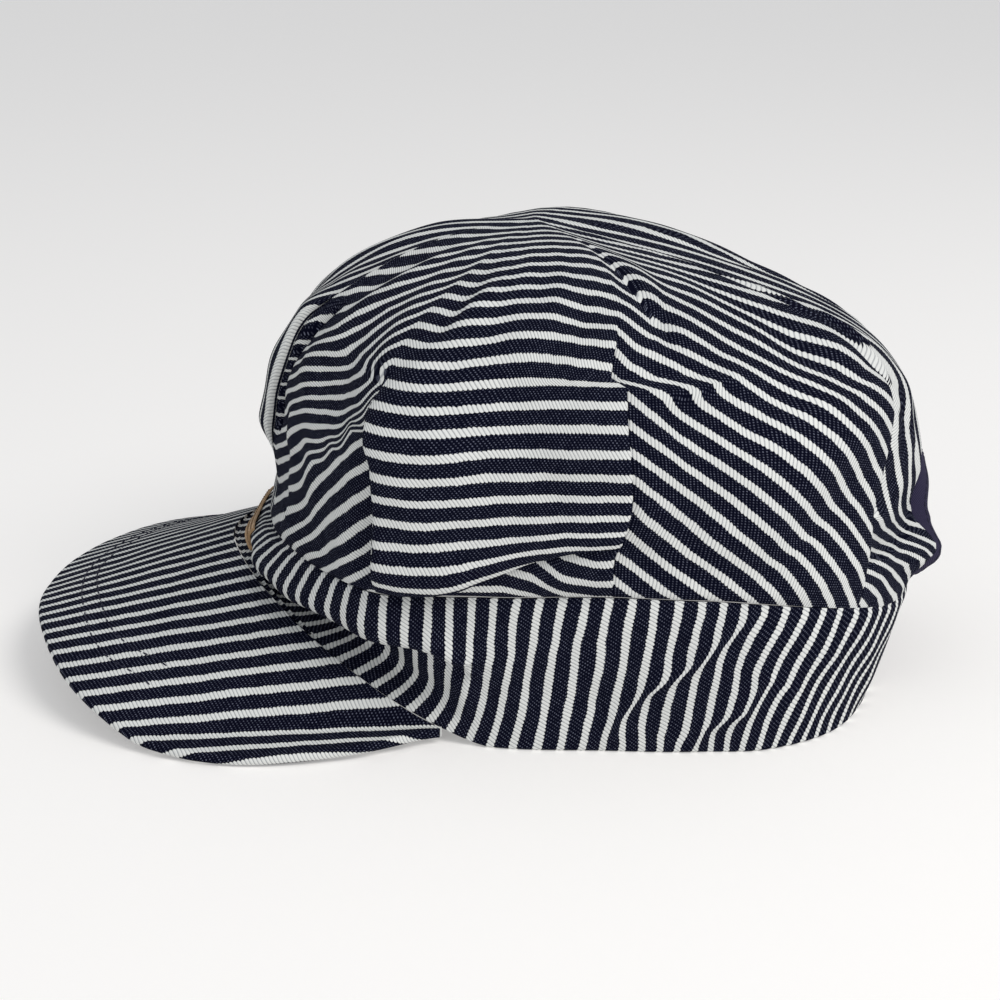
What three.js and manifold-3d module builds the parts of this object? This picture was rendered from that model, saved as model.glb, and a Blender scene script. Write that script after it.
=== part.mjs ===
// Engineer cap in striped cloth, resting on its band and peak.
// Millimetres, +Z up, front at -Y, wearer's left at +X, z = 0 on the surface that it rests on.
// Angles run round the cap in degrees: 0 front, 90 the wearer's left, 180 rear.
import * as THREE from 'three';
import { mergeVertices } from 'three/addons/utils/BufferGeometryUtils.js';
import Module from 'manifold-3d';

const wasm = await Module();
wasm.setup();

// Sizes
const RING_Y = 24.92;        // head ring's centre, measured from the origin
const CLOTH = 1.6;            // wall of the band and crown
const SEAM_GAP = 0.3;         // clearance kept where two pieces are sewn together
const PEAK_THICK = 2.8;       // board with cloth on both sides
const PEAK_STEP = 0.6;        // the peak's top above the band's rim, where they are sewn
const PEAK_END = 66;          // angle where the peak ends on either side
const PEAK_CROWNING = 2.4;    // the peak's rise between its joint and its edge
const PEAK_BROAD = 45;        // a peak this broad or broader has its whole crowning
const PEAK_CLEAR = 0.15;      // the peak's underside stays this far above the surface
const FAR_SIDE_LIFT = 6;      // the peak's right half is sprung up off the surface
const FAR_SIDE_SAG = 5;       // the crown's right half has sunk
const PLEAT_ARRIS = 0.45;     // angle from a pleat's edge to the cloth beside it
const PLEAT_FADE = 9;         // length over which a pleat runs out below its apex
const MIDDLE_SHARE = 0.45;    // share of a pleat's lift that is left in its panel's middle
const COLUMN_STEP = 6.2;      // angle between two columns of a sheet, about
const FLAT_FROM = 74;         // angle from which the band's rim lies on the surface
const CREASE_SCALE = 1.6;     // millimetres of cloth to a degree round the cap
const CROWN_TOP = { x: 0, y: -12, z: 130.5 };
const STRAP = { columns: 4, low: 1, high: 6, thick: 1.4 };     // columns and levels of the band
const PATCH = { columns: 2, low: 2, high: 7, thick: 0.7 };
const ARCH = { halfWidth: 30, spring: 26, top: 57, below: 10, behind: 145, depth: 90 };
const FACING = { width: 6.5, thick: 1.2, legShare: 0.3, foot: 1, stand: 2, flare: 9.5, flareHeight: 32, flareSpread: 17, steps: 26 };

const NAVY_STRIPED = { color: 0x2b2c45, roughness: 0.9, metalness: 0 };
const NAVY_PLAIN = { color: 0x2a2740, roughness: 0.75, metalness: 0 };
const TAN = { color: 0xb8946b, roughness: 0.8, metalness: 0 };

// Sections round the band, left half; the right half mirrors it.
// Each height on the section has its reach from the ring's centre (R) and its height (Z).
// The rim is the lower edge, tuck the hollow above it, roll the bulge, seam the crown's joint,
// and peak the outer edge of the peak in line with that section.
const BAND = [
  { angle: 0, rimR: 103, rimZ: 34, tuckR: 97.5, tuckZ: 35.5, rollR: 96.5, rollZ: 38.5, seamR: 92, seamZ: 42, peakR: 162.5, peakZ: 14.5 },
  { angle: 15, rimR: 100, rimZ: 33, tuckR: 95.5, tuckZ: 34.8, rollR: 97.5, rollZ: 39.5, seamR: 92, seamZ: 44, peakR: 159.5, peakZ: 14 },
  { angle: 30, rimR: 97, rimZ: 28.5, tuckR: 89.5, tuckZ: 30, rollR: 99, rollZ: 38, seamR: 94, seamZ: 46, peakR: 153.6, peakZ: 5 },
  { angle: 45, rimR: 94.5, rimZ: 20.5, tuckR: 86, tuckZ: 26, rollR: 98.5, rollZ: 36, seamR: 96, seamZ: 45, peakR: 135.5, peakZ: 3 },
  { angle: 57, rimR: 90.5, rimZ: 9.5, tuckR: 84, tuckZ: 19, rollR: 96.5, rollZ: 33.5, seamR: 96.8, seamZ: 44, peakR: 109.4, peakZ: 3 },
  { angle: 66, rimR: 86.2, rimZ: 3.2, tuckR: 84, tuckZ: 14, rollR: 91.5, rollZ: 30, seamR: 91, seamZ: 44, peakR: 88, peakZ: 3 },
  { angle: 75, rimR: 84.8, rimZ: 0, tuckR: 84.3, tuckZ: 14, rollR: 87.5, rollZ: 30, seamR: 87.2, seamZ: 44.3, peakR: 85, peakZ: 3 },
  { angle: 95, rimR: 83.4, rimZ: 0, tuckR: 84, tuckZ: 15, rollR: 85.4, rollZ: 30, seamR: 85.3, seamZ: 45, peakR: 84, peakZ: 3 },
  { angle: 113, rimR: 90, rimZ: 0, tuckR: 90.6, tuckZ: 15, rollR: 91.8, rollZ: 30, seamR: 91.5, seamZ: 44, peakR: 90, peakZ: 3 },
  { angle: 123, rimR: 96.6, rimZ: 0, tuckR: 97.6, tuckZ: 15, rollR: 98.8, rollZ: 29, seamR: 97.6, seamZ: 42.3, peakR: 96, peakZ: 3 },
  { angle: 136, rimR: 100.6, rimZ: 0, tuckR: 101.8, tuckZ: 14, rollR: 103.2, rollZ: 26, seamR: 103, seamZ: 38, peakR: 100, peakZ: 3 },
  { angle: 149, rimR: 100, rimZ: 0, tuckR: 102.5, tuckZ: 12, rollR: 105, rollZ: 23, seamR: 105.5, seamZ: 33, peakR: 100, peakZ: 3 },
  { angle: 165, rimR: 95, rimZ: 0, tuckR: 99, tuckZ: 11, rollR: 103.5, rollZ: 21, seamR: 106, seamZ: 31, peakR: 95, peakZ: 3 },
  { angle: 180, rimR: 92.5, rimZ: 0, tuckR: 97, tuckZ: 10, rollR: 102, rollZ: 20, seamR: 105, seamZ: 30.5, peakR: 92, peakZ: 3 },
];

// Sections up the crown, left half, above the seam that it shares with the band.
// lean turns a section as it climbs. pleat is how far the panel beside it stands proud,
// side which side of the section that panel lies on, and apex the height where the pleat dies.
const CROWN = [
  { angle: 0, lean: 0, neckR: 89, neckZ: 58, lowR: 91.5, lowZ: 74, bellyR: 86, bellyZ: 95, shoulderR: 69, shoulderZ: 116, topR: 42, topZ: 128.5 },
  { angle: 24, lean: -4, neckR: 88, neckZ: 58, lowR: 87, lowZ: 74, bellyR: 83, bellyZ: 94, shoulderR: 70, shoulderZ: 112, topR: 42, topZ: 126.5, pleat: 3.2, side: -1, apex: 112 },
  { angle: 41, lean: -1, neckR: 92.5, neckZ: 57, lowR: 90, lowZ: 73, bellyR: 84.5, bellyZ: 92, shoulderR: 71, shoulderZ: 110, topR: 42, topZ: 126 },
  { angle: 59, lean: 0, neckR: 98.5, neckZ: 57, lowR: 98.5, lowZ: 72, bellyR: 96, bellyZ: 90, shoulderR: 81, shoulderZ: 111, topR: 45, topZ: 126.5, pleat: 2.6, side: 1, apex: 92 },
  { angle: 79, lean: 0, neckR: 88.3, neckZ: 57, lowR: 89.3, lowZ: 73, bellyR: 88, bellyZ: 91, shoulderR: 74, shoulderZ: 114, topR: 43, topZ: 127.5 },
  { angle: 100, lean: 0, neckR: 87.6, neckZ: 57, lowR: 89.4, lowZ: 73, bellyR: 86.5, bellyZ: 91, shoulderR: 72, shoulderZ: 113.5, topR: 41, topZ: 126.5, pleat: 2.8, side: -1, apex: 113 },
  { angle: 124, lean: 3, neckR: 98.3, neckZ: 55, lowR: 97, lowZ: 70, bellyR: 92.5, bellyZ: 88, shoulderR: 79, shoulderZ: 106, topR: 46, topZ: 121 },
  { angle: 143, lean: 15, neckR: 99.5, neckZ: 51, lowR: 97.5, lowZ: 70, bellyR: 94.5, bellyZ: 87, shoulderR: 82, shoulderZ: 103, topR: 48, topZ: 117, pleat: 2.2, side: 1, apex: 101 },
  { angle: 163, lean: 6, neckR: 104, neckZ: 46, lowR: 101.5, lowZ: 64, bellyR: 96, bellyZ: 86, shoulderR: 82, shoulderZ: 101.5, topR: 49, topZ: 114.5 },
  { angle: 180, lean: 0, neckR: 106.5, neckZ: 46, lowR: 104, lowZ: 63, bellyR: 97, bellyZ: 86, shoulderR: 80, shoulderZ: 102, topR: 49, topZ: 114.5 },
];

// Broad creases, each from one place to another, with the rise that it gives the cloth.
const CREASES = [
  { name: 'front hollow', from: [33, 100], to: [30, 60], rise: -4, width: 7 },
  { name: 'left apex ridge', from: [60, 90], to: [64, 114], rise: 2.5, width: 7 },
  { name: 'left drag fold', from: [66, 46], to: [98, 60], rise: 1.6, width: 5 },
  { name: 'rear left valley', from: [128, 96], to: [112, 114], rise: -2, width: 8 },
  { name: 'band drag fold', from: [94, 2], to: [119, 42], rise: 1.6, width: 5 },
  { name: 'band rear drag fold', from: [113, 2], to: [128, 34], rise: 1.4, width: 5 },
];

const radians = THREE.MathUtils.degToRad;
const smooth = THREE.MathUtils.smoothstep;

// A smooth curve through one column of a table that covers 0 to 180 degrees and mirrors beyond.
function column(rows, key, angle) {
  const at = Math.min(Math.abs(THREE.MathUtils.euclideanModulo(angle + 180, 360) - 180), 180);
  let i = 0;
  while (i < rows.length - 2 && rows[i + 1].angle < at) i += 1;
  const slope = (k) => {
    if (k === 0 || k === rows.length - 1) return 0;
    const before = rows[k - 1];
    const after = rows[k + 1];
    return (after[key] - before[key]) / (after.angle - before.angle);
  };
  const a = rows[i];
  const b = rows[i + 1];
  const span = b.angle - a.angle;
  const t = (at - a.angle) / span;
  const t2 = t * t;
  const t3 = t2 * t;
  return (2 * t3 - 3 * t2 + 1) * a[key] + (t3 - 2 * t2 + t) * span * slope(i)
    + (3 * t2 - 2 * t3) * b[key] + (t3 - t2) * span * slope(i + 1);
}

// A smooth curve through a section's knots; t counts knots.
function alongKnots(knots, t) {
  const i = Math.min(Math.floor(t), knots.length - 2);
  const f = t - i;
  const p1 = knots[i];
  const p2 = knots[i + 1];
  const p0 = i > 0 ? knots[i - 1] : p1.clone().multiplyScalar(2).sub(p2);
  const p3 = i < knots.length - 2 ? knots[i + 2] : p2.clone().multiplyScalar(2).sub(p1);
  const f2 = f * f;
  const f3 = f2 * f;
  return new THREE.Vector3()
    .addScaledVector(p0, -0.5 * f + f2 - 0.5 * f3)
    .addScaledVector(p1, 1 - 2.5 * f2 + 1.5 * f3)
    .addScaledVector(p2, 0.5 * f + 2 * f2 - 1.5 * f3)
    .addScaledVector(p3, -0.5 * f2 + 0.5 * f3);
}

function polar(angle, reach, z) {
  const a = radians(angle);
  return new THREE.Vector3(reach * Math.sin(a), -reach * Math.cos(a), z);
}

// Band surface: v runs from the rim, 0, to the seam, 1.
function bandPoint(angle, v) {
  const knot = (name) => polar(angle, column(BAND, `${name}R`, angle), column(BAND, `${name}Z`, angle));
  const rim = knot('rim');
  const seam = knot('seam');
  rim.z = Math.abs(angle) > FLAT_FROM ? 0 : Math.max(rim.z, 0);
  const p = alongKnots([rim, knot('tuck'), knot('roll'), seam], 3 * v);
  if (v === 0) p.z = rim.z;
  return p;
}

// Crown surface without its pleats: t runs from the seam, 0, to the middle of the top, 6.
function crownPoint(angle, t) {
  const lean = Math.sign(angle) * column(CROWN, 'lean', angle);
  const knot = (name, climb) => polar(angle + lean * climb,
    column(CROWN, `${name}R`, angle), column(CROWN, `${name}Z`, angle));
  const seam = polar(angle, column(BAND, 'seamR', angle), column(BAND, 'seamZ', angle));
  const knots = [seam, knot('neck', 0.4), knot('low', 0.65), knot('belly', 0.85),
    knot('shoulder', 1), knot('top', 1), new THREE.Vector3(CROWN_TOP.x, CROWN_TOP.y, CROWN_TOP.z)];
  const p = alongKnots(knots, t);
  const sunk = smooth(-p.x, 0, 60) * smooth(t, 2, 4.5) * (1 - smooth(t, 5, 6));
  p.z -= FAR_SIDE_SAG * sunk;
  return p;
}

// How far the pleat beside a section lifts its panel at height z.
function pleatLift(angle, z, panelSide) {
  const row = CROWN.find((r) => r.pleat && Math.abs(r.angle - Math.abs(angle)) < 0.01);
  const proud = row && row.side === panelSide;
  return proud ? row.pleat * (1 - smooth(z, row.apex - PLEAT_FADE, row.apex)) : 0;
}

// Rise of the creases at a place on the left side.
function creaseRise(angle, z) {
  let rise = 0;
  for (const crease of CREASES) {
    const [a0, z0] = crease.from;
    const [a1, z1] = crease.to;
    const dx = (a1 - a0) * CREASE_SCALE;
    const dz = z1 - z0;
    const px = (angle - a0) * CREASE_SCALE;
    const pz = z - z0;
    const along = THREE.MathUtils.clamp((px * dx + pz * dz) / (dx * dx + dz * dz), 0, 1);
    const away = Math.hypot(px - along * dx, pz - along * dz);
    rise += crease.rise * Math.exp(-((away / crease.width) ** 2));
  }
  return rise;
}

function outward(surface, angle, t, step) {
  const across = surface(angle + 1, t).sub(surface(angle - 1, t));
  const up = surface(angle, t + step).sub(surface(angle, t - step));
  return across.cross(up).normalize();
}

// Columns round the cap: even steps between the pleats' edges, and two columns at each edge,
// the second on the cloth that lies behind it.
const PLEATS = CROWN.filter((r) => r.pleat);
function columnsRound() {
  const list = [{ angle: 0, panelSide: 0 }];
  const edges = [...PLEATS, { angle: 180 }];
  let last = 0;
  for (const edge of edges) {
    const steps = Math.round((edge.angle - last) / COLUMN_STEP);
    for (let k = 1; k < steps; k += 1) {
      list.push({ angle: last + ((edge.angle - last) * k) / steps, panelSide: 0 });
    }
    if (edge.side) {
      const inPanelFirst = edge.side < 0;
      const panel = { angle: edge.angle, panelSide: edge.side };
      const behind = { angle: edge.angle - edge.side * PLEAT_ARRIS, panelSide: 0 };
      list.push(...(inPanelFirst ? [panel, behind] : [behind, panel]));
      last = edge.angle;
    }
  }
  const half = list.slice(1);
  const mirrored = half.map((c) => ({ angle: -c.angle, panelSide: c.panelSide })).reverse();
  return [...mirrored, ...list, { angle: 180, panelSide: 0 }];
}
const ROUND = columnsRound();

// A panel's lift falls away evenly from its edges to its middle, where it keeps a share.
const [FRONT_EDGE, SIDE_FRONT_EDGE, SIDE_REAR_EDGE, REAR_EDGE] = PLEATS;
const PROUD_PANELS = [
  { from: -FRONT_EDGE.angle, to: FRONT_EDGE.angle, before: FRONT_EDGE, after: FRONT_EDGE },
  { from: SIDE_FRONT_EDGE.angle, to: SIDE_REAR_EDGE.angle, before: SIDE_FRONT_EDGE, after: SIDE_REAR_EDGE },
  { from: REAR_EDGE.angle, to: 360 - REAR_EDGE.angle, before: REAR_EDGE, after: REAR_EDGE },
];
function crownLift(columnAt, z) {
  const at = Math.abs(columnAt.angle);
  if (columnAt.panelSide) return pleatLift(columnAt.angle, z, columnAt.panelSide);
  const panel = PROUD_PANELS.find((p) => at > p.from && at < p.to);
  if (!panel) return 0;
  const middle = (panel.from + panel.to) / 2;
  const share = MIDDLE_SHARE + (1 - MIDDLE_SHARE) * Math.abs((at - middle) / (panel.to - middle));
  const edge = at > middle ? panel.after : panel.before;
  return share * pleatLift(edge.angle, z, edge.side);
}

// Closed solid from rings of outer points and matching inner points.
// rings[i][j]: i up the surface, j round it. A closed sheet joins its last column to its first.
function sheetSolid(outer, inner, { closed = false, pole = null } = {}) {
  const rows = outer.length;
  const cols = outer[0].length;
  const positions = [];
  const push = (p) => positions.push(p.x, p.y, p.z) / 3 - 1;
  const o = outer.map((row) => row.map(push));
  const n = inner.map((row) => row.map(push));
  const faces = [];
  const quad = (a, b, c, d) => faces.push(a, b, c, a, c, d);
  const last = closed ? cols : cols - 1;
  for (let j = 0; j < last; j += 1) {
    const k = (j + 1) % cols;
    for (let i = 0; i < rows - 1; i += 1) {
      quad(o[i][j], o[i][k], o[i + 1][k], o[i + 1][j]);
      quad(n[i][k], n[i][j], n[i + 1][j], n[i + 1][k]);
    }
    quad(n[0][j], n[0][k], o[0][k], o[0][j]);
    if (!pole) quad(o[rows - 1][j], o[rows - 1][k], n[rows - 1][k], n[rows - 1][j]);
  }
  if (!closed) {
    for (let i = 0; i < rows - 1; i += 1) {
      quad(n[i][0], o[i][0], o[i + 1][0], n[i + 1][0]);
      quad(o[i][cols - 1], n[i][cols - 1], n[i + 1][cols - 1], o[i + 1][cols - 1]);
    }
  }
  if (pole) {
    const top = push(pole.outer);
    const under = push(pole.inner);
    for (let j = 0; j < cols; j += 1) {
      const k = (j + 1) % cols;
      faces.push(o[rows - 1][j], o[rows - 1][k], top);
      faces.push(n[rows - 1][k], n[rows - 1][j], under);
    }
  }
  const geometry = new THREE.BufferGeometry();
  geometry.setAttribute('position', new THREE.Float32BufferAttribute(positions, 3));
  geometry.setIndex(faces);
  return mergeVertices(geometry, 1e-4);
}

// Band: cloth strip, rolled outwards at the front where the peak pushes it up.
const BAND_LEVELS = [0, 0.09, 0.2, 0.33, 0.45, 0.56, 0.67, 0.78, 0.89, 1];
function bandOuter(angle, v) {
  const p = bandPoint(angle, v);
  if (v > 0 && v < 1 && angle > 0) {
    const taper = Math.sin(Math.PI * v);
    p.addScaledVector(outward(bandPoint, angle, v, 0.01), creaseRise(angle, p.z) * taper);
  }
  return p;
}

function bandInward(angle, v, depth) {
  const facing = outward(bandPoint, angle, THREE.MathUtils.clamp(v, 0.02, 0.98), 0.02);
  const edge = v === 0 || v === 1;
  return bandOuter(angle, v).addScaledVector(edge ? polar(angle, 1, 0) : facing, -depth);
}

function makeBand() {
  const outer = BAND_LEVELS.map((v) => ROUND.map((c) => bandInward(c.angle, v, 0)));
  const inner = BAND_LEVELS.map((v) => ROUND.map((c) => bandInward(c.angle, v, CLOTH)));
  const topRow = BAND_LEVELS.length - 1;
  for (const row of [outer[topRow], inner[topRow]]) {
    for (const p of row) p.z -= SEAM_GAP / 2;
  }
  return sheetSolid(outer, inner, { closed: true });
}

// Crown: one cloth taken in by eight pleats, slumped over the band.
const CROWN_LEVELS = [0, 0.3, 0.65, 1, 1.35, 1.7, 2, 2.35, 2.7, 3, 3.25, 3.5, 3.75, 4, 4.25, 4.5, 4.8, 5.1, 5.4, 5.7];
function crownOuter(columnAt, t) {
  const base = crownPoint(columnAt.angle, t);
  const facing = t === 0 ? polar(columnAt.angle, 1, 0) : outward(crownPoint, columnAt.angle, t, 0.02);
  const settle = smooth(t, 0, 0.6);
  const crease = columnAt.angle > 0 ? creaseRise(columnAt.angle, base.z) * settle * (1 - smooth(t, 3.4, 4.6)) : 0;
  return base.addScaledVector(facing, crownLift(columnAt, base.z) * settle + crease);
}

function crownInner(columnAt, t) {
  const base = crownPoint(columnAt.angle, t);
  const facing = t === 0 ? polar(columnAt.angle, 1, 0) : outward(crownPoint, columnAt.angle, t, 0.02);
  const shown = smooth(t, 0, 0.6) * (1 - smooth(t, 3.4, 4.6));
  const hollow = columnAt.angle > 0 ? Math.min(creaseRise(columnAt.angle, base.z) * shown, 0) : 0;
  return base.addScaledVector(facing, hollow - CLOTH);
}

function makeCrown() {
  const outer = CROWN_LEVELS.map((t) => ROUND.map((c) => crownOuter(c, t)));
  const inner = CROWN_LEVELS.map((t) => ROUND.map((c) => crownInner(c, t)));
  for (const row of [outer[0], inner[0]]) {
    for (const p of row) p.z += SEAM_GAP / 2;
  }
  const top = new THREE.Vector3(CROWN_TOP.x, CROWN_TOP.y, CROWN_TOP.z);
  const under = top.clone().setZ(CROWN_TOP.z - CLOTH);
  return sheetSolid(outer, inner, { closed: true, pole: { outer: top, inner: under } });
}

// Peak: a ruled sheet from the band's rim to its outer edge, a little crowned.
const PEAK_LEVELS = [0, 0.1, 0.25, 0.42, 0.6, 0.78, 0.92, 1];
function peakTop(angle, v) {
  const joint = bandPoint(angle, 0);
  const rimReach = Math.hypot(joint.x, joint.y);
  const inner = polar(angle, rimReach + SEAM_GAP + 0.05, joint.z + PEAK_STEP);
  const reach = Math.max(column(BAND, 'peakR', angle), rimReach + 2);
  const sprung = smooth(-angle, 16, 38) * (1 - smooth(-angle, 50, PEAK_END));
  const edgeZ = column(BAND, 'peakZ', angle) + FAR_SIDE_LIFT * sprung;
  const edge = polar(angle, reach, Math.min(edgeZ, inner.z));
  const p = inner.clone().lerp(edge, v);
  p.z += PEAK_CROWNING * smooth(reach - rimReach, 0, PEAK_BROAD) * 4 * v * v * (1 - v);
  return p;
}

function makePeak() {
  const cols = ROUND.filter((c) => Math.abs(c.angle) < PEAK_END).map((c) => c.angle);
  const angles = [-PEAK_END, ...cols, PEAK_END];
  const top = PEAK_LEVELS.map((v) => angles.map((a) => peakTop(a, v)));
  const under = PEAK_LEVELS.map((v) => angles.map((a) => {
    const p = peakTop(a, v);
    p.z = Math.max(p.z - PEAK_THICK, PEAK_CLEAR);
    return p;
  }));
  return sheetSolid(under, top);
}

// The arch cut through the rear of the band and crown, drawn in the X-Z plane.
function archShape() {
  const half = ARCH.halfWidth;
  const shape = new THREE.Shape();
  shape.moveTo(-half, -ARCH.below);
  shape.lineTo(half, -ARCH.below);
  shape.lineTo(half, ARCH.spring);
  shape.absellipse(0, ARCH.spring, half, ARCH.top - ARCH.spring, 0, Math.PI, false, 0);
  shape.lineTo(-half, -ARCH.below);
  return shape;
}

function toManifold(geometry) {
  const plain = new THREE.BufferGeometry();
  plain.setAttribute('position', geometry.getAttribute('position'));
  if (geometry.index) plain.setIndex(geometry.index);
  const merged = mergeVertices(plain, 1e-4);
  return new wasm.Manifold(new wasm.Mesh({
    numProp: 3,
    vertProperties: new Float32Array(merged.getAttribute('position').array),
    triVerts: new Uint32Array(merged.index.array),
  }));
}

function cutArch(geometry) {
  const tool = new THREE.ExtrudeGeometry(archShape(), { depth: ARCH.depth, bevelEnabled: false, curveSegments: 14 });
  tool.rotateX(Math.PI / 2);
  tool.translate(0, ARCH.behind, 0);
  const result = toManifold(geometry).subtract(toManifold(tool)).getMesh();
  const cut = new THREE.BufferGeometry();
  cut.setAttribute('position', new THREE.Float32BufferAttribute(result.vertProperties, 3));
  cut.setIndex(new THREE.Uint32BufferAttribute(result.triVerts, 1));
  return cut;
}

// The rear wall's place at a given side offset and height.
function rearWall(x, z) {
  let best = null;
  const sample = (p) => {
    const miss = Math.abs(p.z - z);
    if (!best || miss < best.miss) best = { miss, y: p.y };
  };
  const angle = 180 - THREE.MathUtils.radToDeg(Math.atan2(Math.abs(x), 103));
  for (let k = 0; k <= 60; k += 1) {
    sample(bandPoint(angle, k / 60));
    sample(crownPoint(angle, (k / 60) * 2.5));
  }
  return best.y;
}

// Back facing: a plain strip sewn round the arch's edge, flared outwards low down.
function makeFacing() {
  const rows = [[], []];
  const backs = [[], []];
  for (let k = 0; k <= FACING.steps; k += 1) {
    const turn = (k / FACING.steps) * 2 - 1;
    const bow = 1 - FACING.legShare;
    const onLeg = Math.abs(turn) > bow;
    const around = (Math.PI / 2) * (1 - turn / bow);
    const half = ARCH.halfWidth - SEAM_GAP;
    const rise = ARCH.top - ARCH.spring - SEAM_GAP;
    const legZ = ARCH.spring - ((Math.abs(turn) - bow) / FACING.legShare) * (ARCH.spring - FACING.foot);
    const x = onLeg ? Math.sign(turn) * half : half * Math.cos(around);
    const z = onLeg ? legZ : ARCH.spring + rise * Math.sin(around);
    const inX = onLeg ? -Math.sign(x) : -Math.cos(around);
    const inZ = onLeg ? 0 : -Math.sin(around);
    const flare = FACING.flare * Math.exp(-(((z - FACING.flareHeight) / FACING.flareSpread) ** 2));
    const seat = new THREE.Vector3(x, rearWall(x, z) - CLOTH / 2, z);
    const inwards = new THREE.Vector3(inX, 0, inZ);
    const lip = seat.clone().addScaledVector(inwards, FACING.width / 2);
    lip.y += flare + FACING.stand;
    const depth = inwards.clone().multiplyScalar(FACING.thick);
    depth.y -= FACING.thick * 0.3;
    rows[0].push(seat);
    rows[1].push(lip);
    backs[0].push(seat.clone().add(depth));
    backs[1].push(lip.clone().add(depth));
  }
  return sheetSolid(rows, backs);
}

// A thin sheet that follows the band, on its outside or inside, over whole columns and levels.
function bandSheet({ middle, columns, low, high }, nearDepth, farDepth) {
  const turns = ROUND.map((c) => c.angle);
  const centre = turns.findIndex((a) => Math.abs(Math.abs(a) - middle) < 0.01);
  const angles = [];
  for (let k = -columns; k <= columns; k += 1) {
    angles.push(turns[(centre + k) % turns.length]);
  }
  const heights = BAND_LEVELS.slice(low, high + 1);
  const face = (depth) => heights.map((v) => angles.map((a) => bandInward(a, v, depth)));
  return sheetSolid(face(nearDepth), face(farDepth));
}

function makePatch() {
  return bandSheet({ middle: 0, ...PATCH }, -SEAM_GAP - PATCH.thick, -SEAM_GAP);
}

function makeStrap() {
  const near = CLOTH + SEAM_GAP;
  return bandSheet({ middle: 180, ...STRAP }, near, near + STRAP.thick);
}

function piece(name, geometry, finish) {
  const mesh = new THREE.Mesh(geometry, new THREE.MeshStandardMaterial(finish));
  mesh.name = name;
  return mesh;
}

const cap = new THREE.Group();
cap.position.y = RING_Y;
cap.add(piece('crown', cutArch(makeCrown()), NAVY_STRIPED));
cap.add(piece('band', cutArch(makeBand()), NAVY_STRIPED));
cap.add(piece('peak', makePeak(), NAVY_STRIPED));
cap.add(piece('back_facing', makeFacing(), NAVY_PLAIN));
cap.add(piece('back_strap', makeStrap(), NAVY_PLAIN));
cap.add(piece('front_patch', makePatch(), TAN));

export default cap;
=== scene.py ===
# Engineer cap in striped cloth, resting on its band and peak.
# Lengths are millimetres from the head ring's centre until a mesh is written, in metres.
# Angles run round the cap in degrees: 0 front, 90 the wearer's left, 180 rear.
import math

import bpy
import numpy as np
from mathutils import Matrix, Vector
from mathutils.bvhtree import BVHTree


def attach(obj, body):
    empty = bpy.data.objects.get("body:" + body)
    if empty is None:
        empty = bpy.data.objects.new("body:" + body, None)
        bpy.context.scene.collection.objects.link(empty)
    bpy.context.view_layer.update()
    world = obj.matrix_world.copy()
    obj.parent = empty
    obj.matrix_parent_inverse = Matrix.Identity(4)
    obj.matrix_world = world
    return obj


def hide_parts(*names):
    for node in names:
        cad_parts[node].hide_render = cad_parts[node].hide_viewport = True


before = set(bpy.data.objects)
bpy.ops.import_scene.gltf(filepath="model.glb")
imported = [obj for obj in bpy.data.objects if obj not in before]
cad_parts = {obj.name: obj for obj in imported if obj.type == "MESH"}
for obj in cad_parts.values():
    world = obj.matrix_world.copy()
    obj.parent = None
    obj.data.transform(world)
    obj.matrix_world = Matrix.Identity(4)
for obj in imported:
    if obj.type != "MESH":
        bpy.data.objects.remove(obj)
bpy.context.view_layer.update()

MM = 0.001
RING_Y = 24.92                # head ring's centre, measured from the frame's origin
CLOTH = 1.6                   # wall of the band and crown
SEAM_GAP = 0.3                # clearance where two pieces are sewn together
PEAK_THICK = 2.8              # board with cloth on both sides
PEAK_STEP = 1.1               # how far the peak's top lies above the band's rim
PEAK_END = 66                 # angle where the peak ends on either side
FAR_SIDE_SAG = 5              # how far the crown's right half has sunk
HUMP = {"x": -24, "y": 24, "wide": 22, "long": 30, "rise": 4.2}    # of the crown's top
FLAT_FROM = 74                # angle from which the band's rim lies on the surface
PLEAT_FADE = 9                # length over which a pleat runs out below its apex
FOOT_FADE = 12                # and in, above its foot
ROUNDED_FROM = 1.6            # a pleat this proud or prouder has its edge's whole rounding
TURNED_FROM = 1.2             # and one this proud is folded wholly over
WANDER_REACH = 3, 37          # cloth that follows a wandering edge: all of it, and none of it
PLEAT_REACH = 45              # cloth over which a proud panel comes down from its edge
CREASE_SCALE = 1.6            # millimetres of cloth to a degree round the cap
CROWN_TOP = (0, -12, 130.5)
ARCH = {"half": 30, "spring": 26, "top": 66}


# Tables

def table(names, *rows):
    """Columns of numbers by name."""
    return {name: np.array([row[k] for row in rows], float) for k, name in enumerate(names.split())}


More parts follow.
